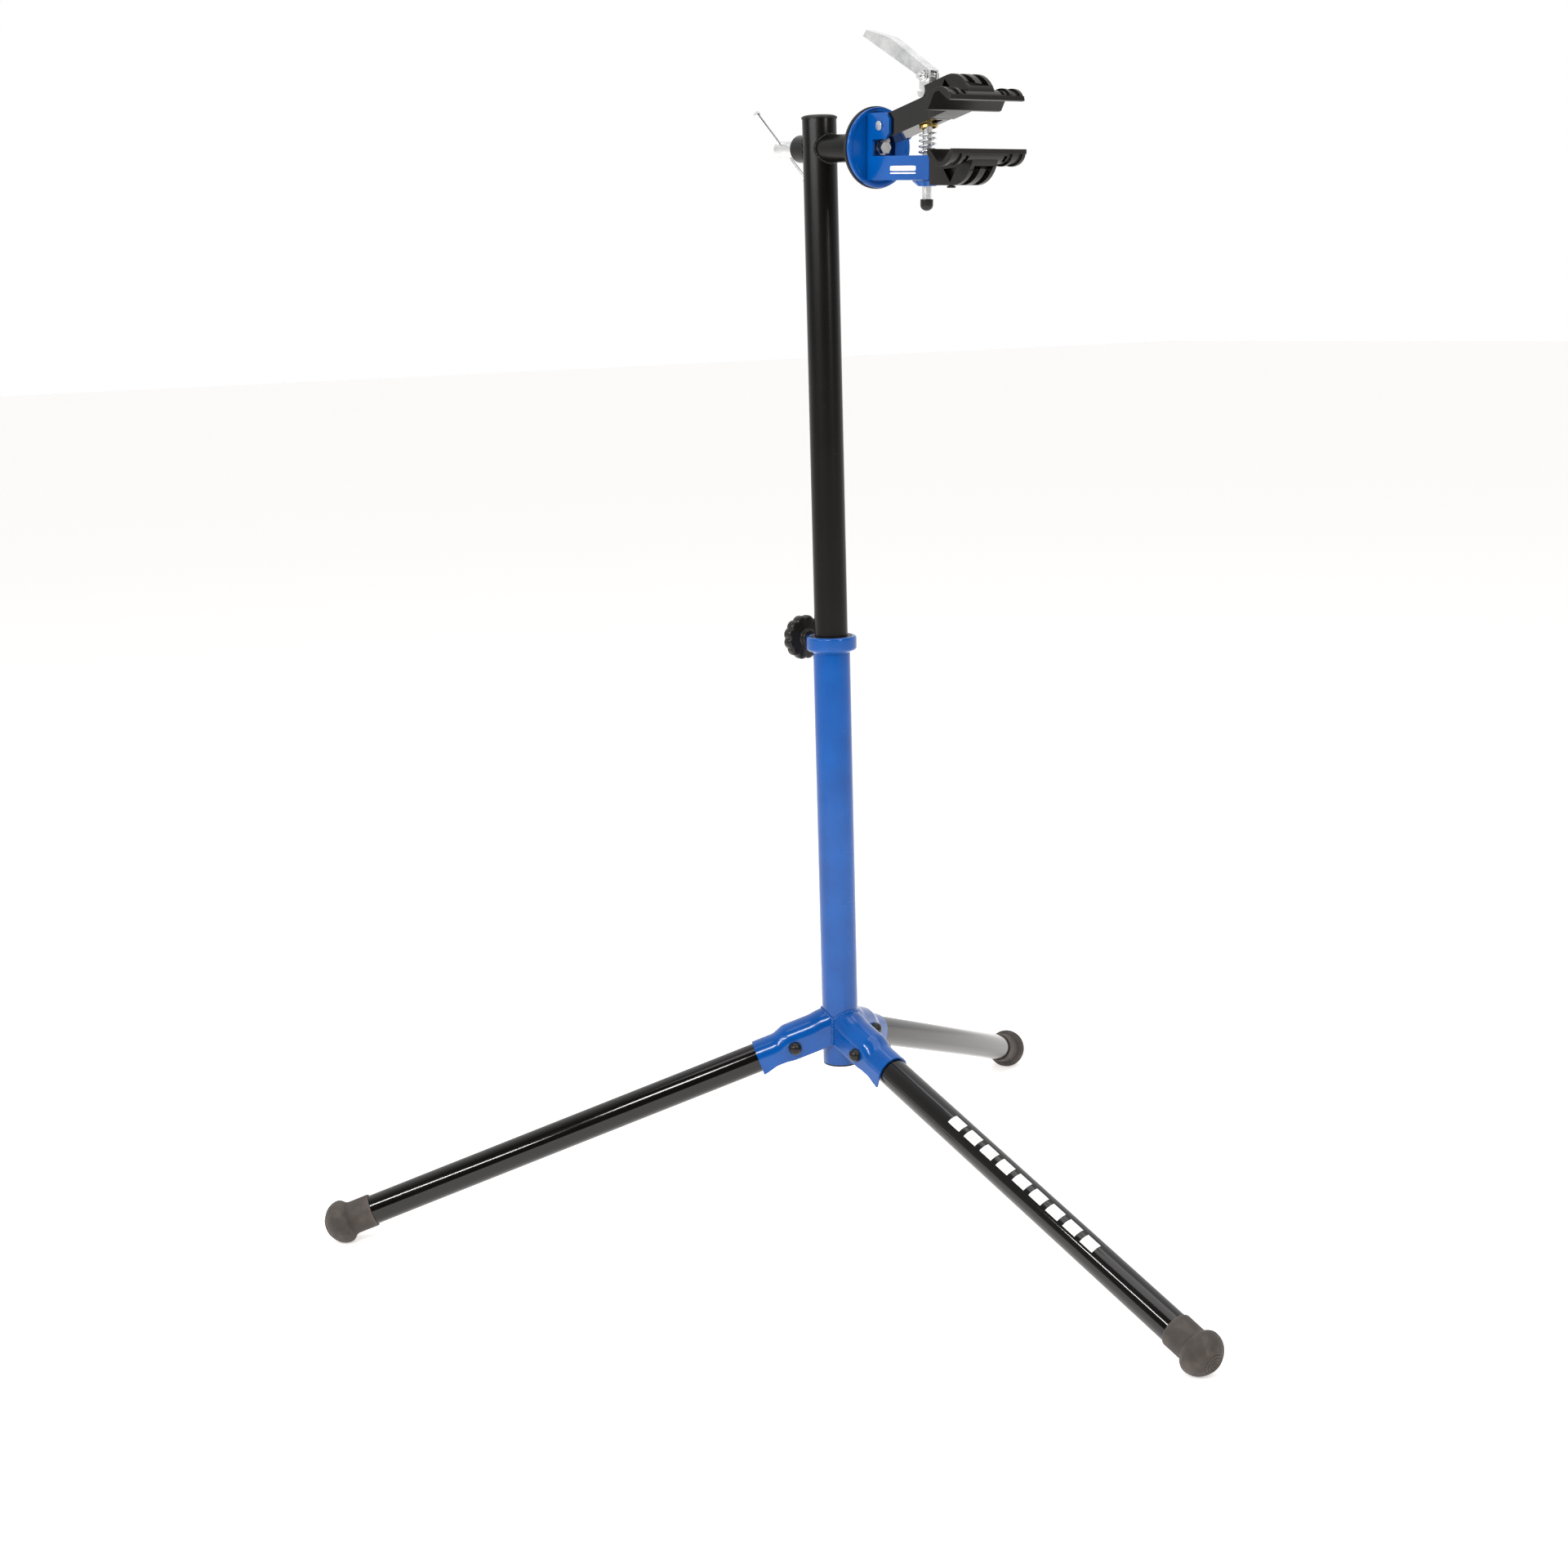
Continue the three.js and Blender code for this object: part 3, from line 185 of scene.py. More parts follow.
def skin(name, grid, round_way=True, closed_run=False, crease=40):
    """Makes a mesh from a grid of points in metres: rows go round the piece, columns along it.
    Poles and seams are merged and the faces turned outwards."""
    rows, columns = grid.shape[:2]
    index = np.arange(rows * columns).reshape(rows, columns)
    here = index if round_way else index[:-1]
    there = np.roll(index, -1, 0) if round_way else index[1:]
    if closed_run:
        quads = [here, there, np.roll(there, -1, 1), np.roll(here, -1, 1)]
    else:
        quads = [here[:, :-1], there[:, :-1], there[:, 1:], here[:, 1:]]
    mesh = bpy.data.meshes.new(name)
    mesh.from_pydata(grid.reshape(-1, 3).tolist(), [], np.stack(quads, -1).reshape(-1, 4).tolist())
    shell = bmesh.new()
    shell.from_mesh(mesh)
    bmesh.ops.remove_doubles(shell, verts=shell.verts, dist=2e-7)
    bmesh.ops.recalc_face_normals(shell, faces=shell.faces)
    shell.to_mesh(mesh)
    shell.free()
    mesh.shade_smooth()
    mesh.set_sharp_from_angle(angle=math.radians(crease))
    made = bpy.data.objects.new(name, mesh)
    bpy.context.scene.collection.objects.link(made)
    return made


def side_axes(axis):
    """Two unit vectors square to an axis and to each other."""
    axis = np.array(axis, float) / np.linalg.norm(axis)
    first = np.cross([0, 1, 0] if abs(axis[1]) < 0.9 else [1, 0, 0], axis)
    first /= np.linalg.norm(first)
    return axis, first, np.cross(axis, first)


def turned(name, profile, centre, axis, around=96, crease=40):
    """A profile of (radius, height) in millimetres turned about an axis through centre:
    each point goes round a circle of its own radius at its own height."""
    axis, first, second = side_axes(axis)
    angle = np.linspace(0, 2 * math.pi, around, endpoint=False)[:, None, None]
    radius, height = (np.array(profile)[None, :, k, None] / 1000 for k in (0, 1))
    grid = np.array(centre) + axis * height + radius * (first * np.cos(angle) + second * np.sin(angle))
    return skin(name, grid, closed_run=bool(np.allclose(profile[0], profile[-1])), crease=crease)


def finished(piece, material, body, slot, *nodes):
    """Gives a piece its material, the body it rides on and the solids it stands for."""
    piece.data.materials.clear()
    piece.data.materials.append(material)
    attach(piece, body)
    if nodes:
        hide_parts(*nodes)
    return piece


def copy_of(node, edge, crease=32):
    """A merged copy of a solid with its edges rounded by `edge` millimetres."""
    mesh = frame["nodes"][node].data.copy()
    shell = bmesh.new()
    shell.from_mesh(mesh)
    bmesh.ops.remove_doubles(shell, verts=shell.verts, dist=2e-6)
    bmesh.ops.dissolve_limit(shell, angle_limit=math.radians(1), verts=shell.verts, edges=shell.edges)
    shell.to_mesh(mesh)
    shell.free()
    mesh.name = node + "_finish"
    mesh.shade_smooth()
    mesh.set_sharp_from_angle(angle=math.radians(crease))
    made = bpy.data.objects.new(node + "_finish", mesh)
    bpy.context.scene.collection.objects.link(made)
    rounding = made.modifiers.new("rounded_edges", "BEVEL")
    rounding.width = edge / 1000
    rounding.segments = 2
    rounding.limit_method = "ANGLE"
    rounding.angle_limit = math.radians(crease)
    rounding.harden_normals = True
    rounding.use_clamp_overlap = True
    return made


def dressed(node, edge, material, body, slot, crease=32):
    """A solid's rounded copy with its finish, standing for that solid."""
    return finished(copy_of(node, edge, crease), material, body, slot, node)


def coat(node, material):
    """Gives its material to a solid that is shown as it is."""
    frame["nodes"][node].data.materials.clear()
    frame["nodes"][node].data.materials.append(material)


def powder_coat(name, light, dark, wear, gloss, sheen, film_coat):
    """Baked polyester powder: a slightly rippled gloss film, a touch uneven in colour, with
    fine handling scuffs that dull it. The ripple of real powder is about 1 mm, which is drawn
    3 mm wide here so that it shows."""
    made, tree = new_material(name)
    place = add(tree, "ShaderNodeTexCoord").outputs["Object"]
    ripple = add(tree, "ShaderNodeTexNoise", Vector=place, Scale=330.0, Detail=2.0).outputs["Fac"]
    cloud = add(tree, "ShaderNodeTexNoise", Vector=place, Scale=22.0, Detail=3.0).outputs["Fac"]
    streak = add(tree, "ShaderNodeMapping", Vector=place, Rotation=(0.4, 0.9, 0.3),
                 Scale=(900.0, 60.0, 900.0)).outputs[0]
    scratch = add(tree, "ShaderNodeTexNoise", Vector=streak, Scale=1.0, Detail=4.0).outputs["Fac"]
    fine = add(tree, "ShaderNodeValToRGB", stops=[(0.66, 0.0), (0.74, 1.0)], Fac=scratch).outputs["Color"]
    patch = add(tree, "ShaderNodeValToRGB", stops=[(0.5, 0.0), (0.66, 1.0)], Fac=cloud).outputs["Color"]
    scuffs = add(tree, "ShaderNodeMath", {"operation": "MULTIPLY"}, _0=fine, _1=patch).outputs[0]
    film = add(tree, "ShaderNodeValToRGB", stops=[(0.3, dark), (0.7, light)], Fac=cloud).outputs["Color"]
    colour = add(tree, "ShaderNodeMix", {"data_type": "RGBA"}, _0=scuffs, _6=film, _7=linear(wear))
    rough = add(tree, "ShaderNodeMapRange", Value=scuffs, To_Min=gloss, To_Max=gloss + 0.25)
    bump = add(tree, "ShaderNodeBump", Strength=0.12, Distance=0.0002, Height=ripple)
    shader = add(tree, "ShaderNodeBsdfPrincipled", Base_Color=colour.outputs[2],
                 Roughness=rough.outputs[0], Normal=bump.outputs[0], IOR=1.5,
                 Specular_IOR_Level=sheen, Coat_Weight=film_coat, Coat_Roughness=0.04)
    add(tree, "ShaderNodeOutputMaterial", Surface=shader.outputs[0])
    return made


blue_powder_coat = powder_coat("blue_powder_coat", "004F9C", "00458C", "2A66A8", 0.18, 0.3, 0.2)
mast_axis = joints["head_spin"]["pos_m"][:2]


def upright(name, profile, crease=40):
    """A piece turned about the column's upright axis, heights measured from the floor."""
    return turned(name, profile, (*mast_axis, 0), (0, 0, 1), 128, crease)


def span(node):
    """The lowest and highest Z of a node in millimetres."""
    low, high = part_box(node)
    return low[2] * 1000, high[2] * 1000


def radius_of(node):
    """Half the width of an upright round node in millimetres."""
    low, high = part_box(node)
    return (high[1] - low[1]) * 500


foot, rim = span("lower_column")
column = radius_of("lower_column")
finished(upright("column_tube", sleeve(column - 2, column, foot, rim, 0.4)), blue_powder_coat,
         "base", "blue_paint", "lower_column")

low, high = span("column_collar")
ring = radius_of("column_collar")
bush = radius_of("guide_bush")
finished(upright("collar_ring", softened([
    (column + 0.05, low - 2.4), (column + 2.4, low - 0.2), (ring - 2.2, low), (ring, low + 2.2),
    (ring, high - 1.6), (ring - 1.6, high), (bush + 0.4, high), (bush + 0.1, high - 4),
    (column + 0.05, rim - 0.2), (column + 0.05, low - 2.4)], 1.5)),
    blue_powder_coat, "base", "blue_paint", "column_collar")

# Glass-filled nylon and ABS mouldings: satin black, finely spark-eroded in the tool, paler
# where hands and edges rub.


def moulded(name, tone, worn, rough, grain, depth):
    """A moulded plastic: a fine pitted texture, soft mottling and scuffs that grey it."""
    made, tree = new_material(name)
    place = add(tree, "ShaderNodeTexCoord").outputs["Object"]
    pits = add(tree, "ShaderNodeTexNoise", Vector=place, Scale=grain, Detail=3.0).outputs["Fac"]
    cloud = add(tree, "ShaderNodeTexNoise", Vector=place, Scale=45.0, Detail=4.0).outputs["Fac"]
    edge = add(tree, "ShaderNodeNewGeometry").outputs["Pointiness"]
    rubbed = add(tree, "ShaderNodeValToRGB", stops=[(0.5, 0.0), (0.62, 0.6)], Fac=edge).outputs["Color"]
    patch = add(tree, "ShaderNodeValToRGB", stops=[(0.45, 0.0), (0.8, 0.45)], Fac=cloud).outputs["Color"]
    most = add(tree, "ShaderNodeMath", {"operation": "MAXIMUM"}, _0=rubbed, _1=patch).outputs[0]
    colour = add(tree, "ShaderNodeMix", {"data_type": "RGBA"}, _0=most, _6=linear(tone),
                 _7=linear(worn))
    spread = add(tree, "ShaderNodeMapRange", Value=cloud, To_Min=rough - 0.08, To_Max=rough + 0.1)
    bump = add(tree, "ShaderNodeBump", Strength=0.35, Distance=depth, Height=pits)
    shader = add(tree, "ShaderNodeBsdfPrincipled", Base_Color=colour.outputs[2],
                 Roughness=spread.outputs[0], Normal=bump.outputs[0], IOR=1.5,
                 Specular_IOR_Level=0.3)
    add(tree, "ShaderNodeOutputMaterial", Surface=shader.outputs[0])
    return made


moulded_nylon = moulded("moulded_nylon", "141312", "2C2A28", 0.42, 900.0, 0.0001)
low, high = span("column_bottom_plug")
finished(upright("column_plug", softened([
    (0, low), (column - 0.4, low), (column - 0.4, low + 2), (column - 2.2, low + 2),
    (column - 3, high), (0, high)], 0.7)), moulded_nylon, "base", "black_plastic", "column_bottom_plug")
dressed("guide_bush", 0.4, moulded_nylon, "base", "nylon")

# ---------------------------------------------------------------- leg sockets
# Each socket is pressed from 2 mm sheet into an upturned U: a round roof that fits the leg
# at its outer end, steps up over the leg's pivot and is cut to fit the column, where it is
# welded on and powder coated with it. A domed plastic cap hides each end of the pivot bolt.

LEG_TILT = math.radians(19.2)


def smooth_step(x, start, end):
    """Rises from 0 at start to 1 at end, level at both."""
    t = np.clip((x - start) / (end - start), 0, 1)
    return t * t * (3 - 2 * t)


def leg_axes(leg):
    """The column's centre on the leg axis, then the directions along, above and beside the
    leg, and the pivot's distance along it in millimetres."""
    joint = joints["leg_fold_" + leg]
    beside = np.array(joint["axis"])
    outward = np.array([beside[1], -beside[0], 0])
    along = outward * math.cos(LEG_TILT) - np.array([0, 0, math.sin(LEG_TILT)])
    above = outward * math.sin(LEG_TILT) + np.array([0, 0, math.cos(LEG_TILT)])
    pivot = np.array(joint["pos_m"])
    reach = np.dot(pivot[:2] - mast_axis, outward[:2]) / math.cos(LEG_TILT)
    return pivot - along * reach, along, above, beside, reach * 1000


def from_column(across, height, gap):
    """How far along the leg, in millimetres, its surface leaves the column: where the
    distance from the column's axis equals its radius, or where it meets its neighbour."""
    column_side = np.sqrt(np.clip((column + gap) ** 2 - across**2, 0, None))
    neighbour = np.abs(across) / math.tan(math.radians(60)) + 0.4
    return (np.maximum(column_side, neighbour) - height * math.sin(LEG_TILT)) / math.cos(LEG_TILT)


def socket_section(share, run, sheet):
    """Across and height of the pressed U at a share round it (0 one skirt's edge, 1 the
    other's): two straight skirts and a half circle that rises over the pivot."""
    radius = 20.0 - sheet
    drop = 12.5 + 1.5 * smooth_step(run, 78, 62) + 4.0 * smooth_step(run, 84, 105)
    rise = 5.4 * smooth_step(run, 81, 62) + 1.7 * smooth_step(run, 34, 17)
    angle = np.clip((share - 0.2) / 0.6, 0, 1) * math.pi
    skirt = np.where(share < 0.2, 1 - share / 0.2, 0) + np.where(share > 0.8, (share - 0.8) / 0.2, 0)
    return radius * np.cos(angle), (rise + radius * np.sin(angle)) * (1 - skirt) - drop * skirt


LEGS = ["front", "right", "left"]
SOCKET_END = 105.0
share = np.linspace(0, 1, 73)[:, None]
along_share = np.linspace(0, 1, 61)[None, :]
for leg in LEGS:
    centre, along, above, beside, _ = leg_axes(leg)
    layers = []
    for sheet in (0.0, 2.0):
        start = 20 * np.ones_like(share)
        for _ in range(4):  # the cut line moves with the height that it cuts
            across, height = socket_section(share, start, sheet)
            start = from_column(across, height, 0.1)
        run = start + (SOCKET_END - start) * along_share
        across, height = socket_section(share, run, sheet)
        layers.append(centre + (along * run[..., None] + beside * across[..., None]
                                + above * height[..., None]) / 1000)
    # out along the outer face and back along the inner one, closed at both rims
    outer, inner = layers
    shell = skin("socket_sheet_" + leg, np.concatenate([outer, inner[:, ::-1]], 1),
                 round_way=False, closed_run=True, crease=38)
    sides = bmesh.new()
    sides.from_mesh(shell.data)
    bmesh.ops.holes_fill(sides, edges=[edge for edge in sides.edges if edge.is_boundary], sides=0)
    bmesh.ops.triangulate(sides, faces=[face for face in sides.faces if len(face.verts) > 4])
    bmesh.ops.recalc_face_normals(sides, faces=sides.faces)
    sides.to_mesh(shell.data)
    sides.free()
    finished(shell, blue_powder_coat, "base", "blue_paint", "leg_socket_" + leg)

# The weld that holds each socket: a small ripple-surfaced fillet along its cut edge, painted
# over with the same powder.


def swept(name, path, across, radius, around=14, crease=60):
    """A round bar along a path in metres: each ring is a circle in the plane of `across`
    and its normal to the path; radius is in millimetres and may vary along the path."""
    path = np.array(path, float)
    tangent = np.gradient(path, axis=0)
    tangent /= np.linalg.norm(tangent, axis=1)[:, None]
    across = across - tangent * (across * tangent).sum(1)[:, None]
    across /= np.linalg.norm(across, axis=1)[:, None]
    up = np.cross(tangent, across)
    radius = np.broadcast_to(radius, len(path)).copy() / 1000
    rows = np.concatenate([[0], np.arange(len(path)), [len(path) - 1]])
    size = radius[rows]
    size[[0, -1]] = 0
    angle = np.linspace(0, 2 * math.pi, around, endpoint=False)[:, None, None]
    grid = path[rows] + size[:, None] * (across[rows] * np.cos(angle) + up[rows] * np.sin(angle))
    return skin(name, grid, crease=crease)


for leg in LEGS:
    centre, along, above, beside, _ = leg_axes(leg)
    share = np.linspace(0.02, 0.98, 190)
    start = 20 * np.ones_like(share)
    for _ in range(4):
        across, height = socket_section(share, start, 0.0)
        start = from_column(across, height, 0.3)
    path = centre + (along * start[:, None] + beside * across[:, None] + above * height[:, None]) / 1000
    outward = path - np.array([*mast_axis, 0])
    outward[:, 2] = 0
    # welding leaves a ripple about every 2 mm
    bead = 1.7 + 0.22 * np.sin(np.arange(190) * 0.9) + 0.15 * np.sin(np.arange(190) * 0.37)
    finished(swept("socket_weld_" + leg, path, outward, bead), blue_powder_coat, "base", "blue_paint")

# Bright zinc plate: a thin, faintly clouded plating over steel, with drawing lines left by
# the rolls and dulled spots.


def plated(name, light, dark, rough):
    """Zinc-plated steel: cloudy crystals about 3 mm wide and fine lines along one way."""
    made, tree = new_material(name)
    place = add(tree, "ShaderNodeTexCoord").outputs["Object"]
    crystals = add(tree, "ShaderNodeTexVoronoi", Vector=place, Scale=330.0, Randomness=1.0)
    cloud = add(tree, "ShaderNodeTexNoise", Vector=place, Scale=60.0, Detail=4.0).outputs["Fac"]
    drawn = add(tree, "ShaderNodeMapping", Vector=place, Scale=(160.0, 1500.0, 1500.0)).outputs[0]
    lines = add(tree, "ShaderNodeTexNoise", Vector=drawn, Scale=1.0, Detail=2.0).outputs["Fac"]
    tint = add(tree, "ShaderNodeMath", {"operation": "MULTIPLY_ADD"},
               _0=crystals.outputs["Color"], _1=0.12, _2=cloud).outputs[0]
    colour = add(tree, "ShaderNodeValToRGB", stops=[(0.35, dark), (0.8, light)], Fac=tint).outputs["Color"]
    spread = add(tree, "ShaderNodeMapRange", Value=tint, From_Max=1.2, To_Min=rough - 0.06,
                 To_Max=rough + 0.16)
    bump = add(tree, "ShaderNodeBump", Strength=0.15, Distance=0.0001, Height=lines)
    shader = add(tree, "ShaderNodeBsdfPrincipled", Base_Color=colour, Metallic=1.0,
                 Roughness=spread.outputs[0], Normal=bump.outputs[0])
    add(tree, "ShaderNodeOutputMaterial", Surface=shader.outputs[0])
    return made


zinc_plate = plated("bright_zinc_plate", "F4F4F3", "CFD0D1", 0.2)
glossy_nylon = moulded("glossy_nylon_cap", "161412", "2E2A27", 0.28, 500.0, 0.00005)

for leg in LEGS:
    pivot, beside = (np.array(joints["leg_fold_" + leg][key]) for key in ("pos_m", "axis"))
    coat("leg_bolt_" + leg, zinc_plate)
    for end, way in (("a", -1), ("b", 1)):
        # a low skirt, then a ball top with a faint moulding flat
        turn = np.radians(np.linspace(0, 88, 12))
        dome = [(7.5 * math.cos(t), 22.6 + 6.6 * math.sin(t)) for t in turn]
        cap = turned("bolt_cap_%s_%s" % (leg, end), [
            (6.7, 20.3), (7.7, 20.3), (7.75, 21.0), *dome, (0, 29.2), (0, 24.4), (6.7, 24.4), (6.7, 20.3)],
            pivot, beside * way, 40)
        finished(cap, glossy_nylon, "base", "black_plastic", "leg_bolt_cap_%s_%s" % (leg, end))

# ---------------------------------------------------------------- leg tubes
# Plain 35 mm steel tubes in black gloss enamel, sprayed and stoved. The front one carries a
# row of plain white marks, thin film pressed on along its upper side.

black_enamel = powder_coat("black_gloss_enamel", "0D0A09", "090706", "35302C", 0.1, 0.4, 0.12)
satin_enamel = powder_coat("black_satin_enamel", "0B0908", "070605", "2C2724", 0.3, 0.2, 0.03)
leg_radius = 17.5
farthest = (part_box("leg_tube_front")[1][0] - leg_axes("front")[0][0]) * 1000
leg_end = (farthest - math.sin(LEG_TILT) * leg_radius) / math.cos(LEG_TILT)
for leg in LEGS:
    centre, along, _, _, pivot_at = leg_axes(leg)
    finished(turned("leg_pipe_" + leg, sleeve(leg_radius - 1.5, leg_radius, pivot_at - 9, leg_end, 0.3),
                    centre, along, 128), black_enamel, "leg_" + leg, "black_paint", "leg_tube_" + leg)

white_film, tree = new_material("white_vinyl_film")
place = add(tree, "ShaderNodeTexCoord").outputs["Object"]
specks = add(tree, "ShaderNodeTexNoise", Vector=place, Scale=160.0, Detail=4.0).outputs["Fac"]
tint = add(tree, "ShaderNodeValToRGB", stops=[(0.3, "E2E1DE"), (0.6, "F4F3F0")], Fac=specks)
shader = add(tree, "ShaderNodeBsdfPrincipled", Base_Color=tint.outputs["Color"], Roughness=0.35, IOR=1.5)
add(tree, "ShaderNodeOutputMaterial", Surface=shader.outputs[0])


def film_marks(name, centre, along, above, beside, marks):
    """Curved slabs 0.1 mm thick on the tube: each is (start, end, low angle, high angle),
    the angle counted from the top towards the leg's right, its skin a patch of a cylinder."""
    parts = []
    for start, end, low, high in marks:
        run = np.array([start, start, end, end])
        film = leg_radius + np.array([0.02, 0.12, 0.12, 0.02])
        angle = np.radians(np.linspace(low, high, 18))[:, None]
        grid = centre + (along * run[:, None] + above * (film * np.cos(angle))[..., None]
                         - beside * (film * np.sin(angle))[..., None]) / 1000
        parts.append(skin(name, grid, round_way=False, closed_run=True, crease=30))
    whole = bmesh.new()
    for part in parts:
        whole.from_mesh(part.data)
    bmesh.ops.holes_fill(whole, edges=[edge for edge in whole.edges if edge.is_boundary], sides=0)
    bmesh.ops.recalc_face_normals(whole, faces=whole.faces)
    whole.to_mesh(parts[0].data)
    whole.free()
    for part in parts[1:]:
        bpy.data.objects.remove(part)
    return parts[0]


marks = [(start, start + 20, 4, 46) for start in 222 + 28.5 * np.arange(9)]
finished(film_marks("leg_marks", *leg_axes("front")[:4], marks), white_film, "leg_front", "black_paint")

# ---------------------------------------------------------------- rubber feet
# Thick moulded ferrules, pushed over the tube ends: a sleeve that swells into a bulb, whose
# domed end has moulded rings for grip. Grey-black rubber with a dusty bloom in random patches,
# with painted shade in its hollows and painted highlights on its ridges.

ferrule_rubber, tree = new_material("grey_rubber_bloom_and_painted_shade")
place = add(tree, "ShaderNodeTexCoord").outputs["Object"]
grain = add(tree, "ShaderNodeTexNoise", Vector=place, Scale=800.0, Detail=4.0).outputs["Fac"]
cloud = add(tree, "ShaderNodeTexNoise", Vector=place, Scale=60.0, Detail=5.0).outputs["Fac"]
# Pointiness paints light and shade: hollows, such as the grooves between the rings, come out darker as
# painted shade, and ridges paler as painted highlights
edge = add(tree, "ShaderNodeNewGeometry").outputs["Pointiness"]
lift = add(tree, "ShaderNodeMapRange", Value=cloud, To_Min=-1.25, To_Max=-0.75).outputs[0]
# the random cloud gives the real bloom; the pointiness term adds the painted shade and highlights
bloom_and_painted_shade = add(tree, "ShaderNodeMath", {"operation": "MULTIPLY_ADD"}, _0=edge, _1=3.0, _2=lift).outputs[0]
colour = add(tree, "ShaderNodeValToRGB", Fac=bloom_and_painted_shade,
             stops=[(0.25, "1F1A17"), (0.5, "3A332E"), (0.72, "574E47")]).outputs["Color"]
bump = add(tree, "ShaderNodeBump", Strength=0.4, Distance=0.0003, Height=grain)
shader = add(tree, "ShaderNodeBsdfPrincipled", Base_Color=colour, Roughness=0.62, IOR=1.5,
             Specular_IOR_Level=0.45, Normal=bump.outputs[0])
add(tree, "ShaderNodeOutputMaterial", Surface=shader.outputs[0])

# radii of the bore, sleeve and bulb, then places along the leg and the bulb's two lengths
bore, sleeve_radius, bulb = 17.55, 19.5, 25.5
mouth, widest, dome, blunt_back = 592.2, 629.0, 22.1, 14.0
for leg in LEGS:
    centre, along, _, _, _ = leg_axes(leg)
    back = np.linspace(-math.acos(sleeve_radius / bulb), 0, 14)
    front = np.linspace(0, math.pi / 2, 150)
    # four rings stand 0.6 mm out of the dome, 3 mm apart
    rise = 0.6 * np.sin(bulb * np.cos(front) * 2 * math.pi / 3.1) * smooth_step(front, 1.0, 1.08)
    outline = [(bore, mouth), (18.9, mouth), (19.35, mouth + 0.6), (sleeve_radius, mouth + 2.4),
               (19.35, mouth + 12), (19.3, widest + blunt_back * math.sin(back[0]) - 3)]
    outline += [(bulb * math.cos(t), widest + blunt_back * math.sin(t)) for t in back[1:]]
    outline += [((bulb + up * math.cos(t)) * math.cos(t), widest + (dome + up) * math.sin(t))
                for t, up in zip(front[1:-1], rise[1:-1])]
    outline += [(0, widest + dome), (0, leg_end + 0.1), (bore, leg_end + 0.1), (bore, mouth)]
    ferrule = turned("ferrule_" + leg, outline, centre, along, 112, crease=55)
    points = np.empty(len(ferrule.data.vertices) * 3)
    ferrule.data.vertices.foreach_get("co", points)
    points = points.reshape(-1, 3)
    points[:, 2] = np.maximum(points[:, 2], 0.0)  # the stand's weight flattens it on the floor
    ferrule.data.vertices.foreach_set("co", points.ravel())
    finished(ferrule, ferrule_rubber, "leg_" + leg, "dark_rubber", "foot_" + leg)

# ---------------------------------------------------------------- height knob
# A lobed hand knob in black moulded plastic on a steel stud. The stud's end presses a nylon
# pad on the mast.

low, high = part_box("height_knob")
knob_centre = np.array([high[0], joints["height_knob_turn"]["pos_m"][1], (low[2] + high[2]) / 2])
knob_depth = (high[0] - low[0]) * 1000
angle = np.linspace(0, 2 * math.pi, 264, endpoint=False)[:, None]
flute = 1 - np.abs(np.sin(6 * angle)) ** 0.75  # 1 in the bottom of a flute
profile = softened([(0, 0), (9.4, 0), (10, 6), (23.4, 7.4), (25.9, 10), (25.9, knob_depth - 4),
                    (22.5, knob_depth - 0.6), (11.5, knob_depth - 0.4), (9.5, knob_depth - 2),
                    (0, knob_depth - 2)], 2.2, 6)
radius, depth = profile[None, :, 0], profile[None, :, 1]
radius = radius - 2.2 * flute * smooth_step(radius, 16, 25)
depth = np.broadcast_to(depth, radius.shape)
grid = knob_centre + np.stack([-depth, radius * np.cos(angle), radius * np.sin(angle)], -1) / 1000
finished(skin("knob_grip", grid, crease=50), glossy_nylon, "height_knob", "black_plastic",
         "height_knob")
coat("knob_stud", zinc_plate)
coat("pressure_pad", moulded_nylon)

# ---------------------------------------------------------------- mast
# A 38 mm steel tube in satin black enamel, closed by a low domed plastic cap. The cross tube
# passes through it near the top and is welded all round.

low, high = span("upper_column")
mast = radius_of("upper_column")
finished(upright("mast_pipe", sleeve(mast - 1.5, mast, low, high, 0.3)), satin_enamel, "mast",
         "black_paint", "upper_column")
cap_low, cap_high = span("mast_cap")
finished(upright("mast_lid", [
    (0, cap_low), (mast - 1.6, cap_low), (mast - 1.6, high), (mast + 0.7, high),
    *softened([(mast + 0.9, high + 0.2), (mast + 0.9, high + 2.2), (mast - 3, high + 4.0),
               (0, cap_high)], 3, 8)]), moulded_nylon, "mast", "black_plastic", "mast_cap")
dressed("mast_bottom_plug", 0.4, moulded_nylon, "mast", "black_plastic")

head_axis = np.array(joints["head_spin"]["axis"])
head_up = np.array([-head_axis[2], 0, head_axis[0]])
head_side = np.array([0.0, 1.0, 0.0])
head_centre = np.array(joints["head_spin"]["pos_m"])


def head_point(x, y, z):
    """A point of the head in metres from millimetres along, beside and above its axis."""
    return head_centre + (head_axis * x + head_side * y + head_up * z) / 1000


cross = 15.0
finished(turned("cross_pipe", sleeve(12.5, cross, -36, 97, 0.5), head_centre, head_axis, 96),
         satin_enamel, "mast", "black_paint", "cross_tube")
turn = np.linspace(0, 2 * math.pi, 240)
across, height = cross * np.sin(turn), cross * np.cos(turn)
for side, way in (("front", 1), ("rear", -1)):
    reach = (way * np.sqrt(mast**2 - across**2) - height * head_up[0]) / head_axis[0]
    path = head_centre + (head_axis * reach[:, None] + head_side * across[:, None]
                          + head_up * height[:, None]) / 1000
    outward = path - head_centre
    outward = outward - head_axis * (outward @ head_axis)[:, None]
    bead = 1.9 + 0.2 * np.sin(turn * 30) + 0.12 * np.sin(turn * 13)
    finished(swept("mast_weld_" + side, path, outward, bead), satin_enamel, "mast", "black_paint")

# ---------------------------------------------------------------- brake and turning bar
# The T-nut pulls the head disc and its moulded friction disc on to the welded flange. Nut and
# sliding bar are turned steel, zinc plated; the bar's ends are upset so it stays in.

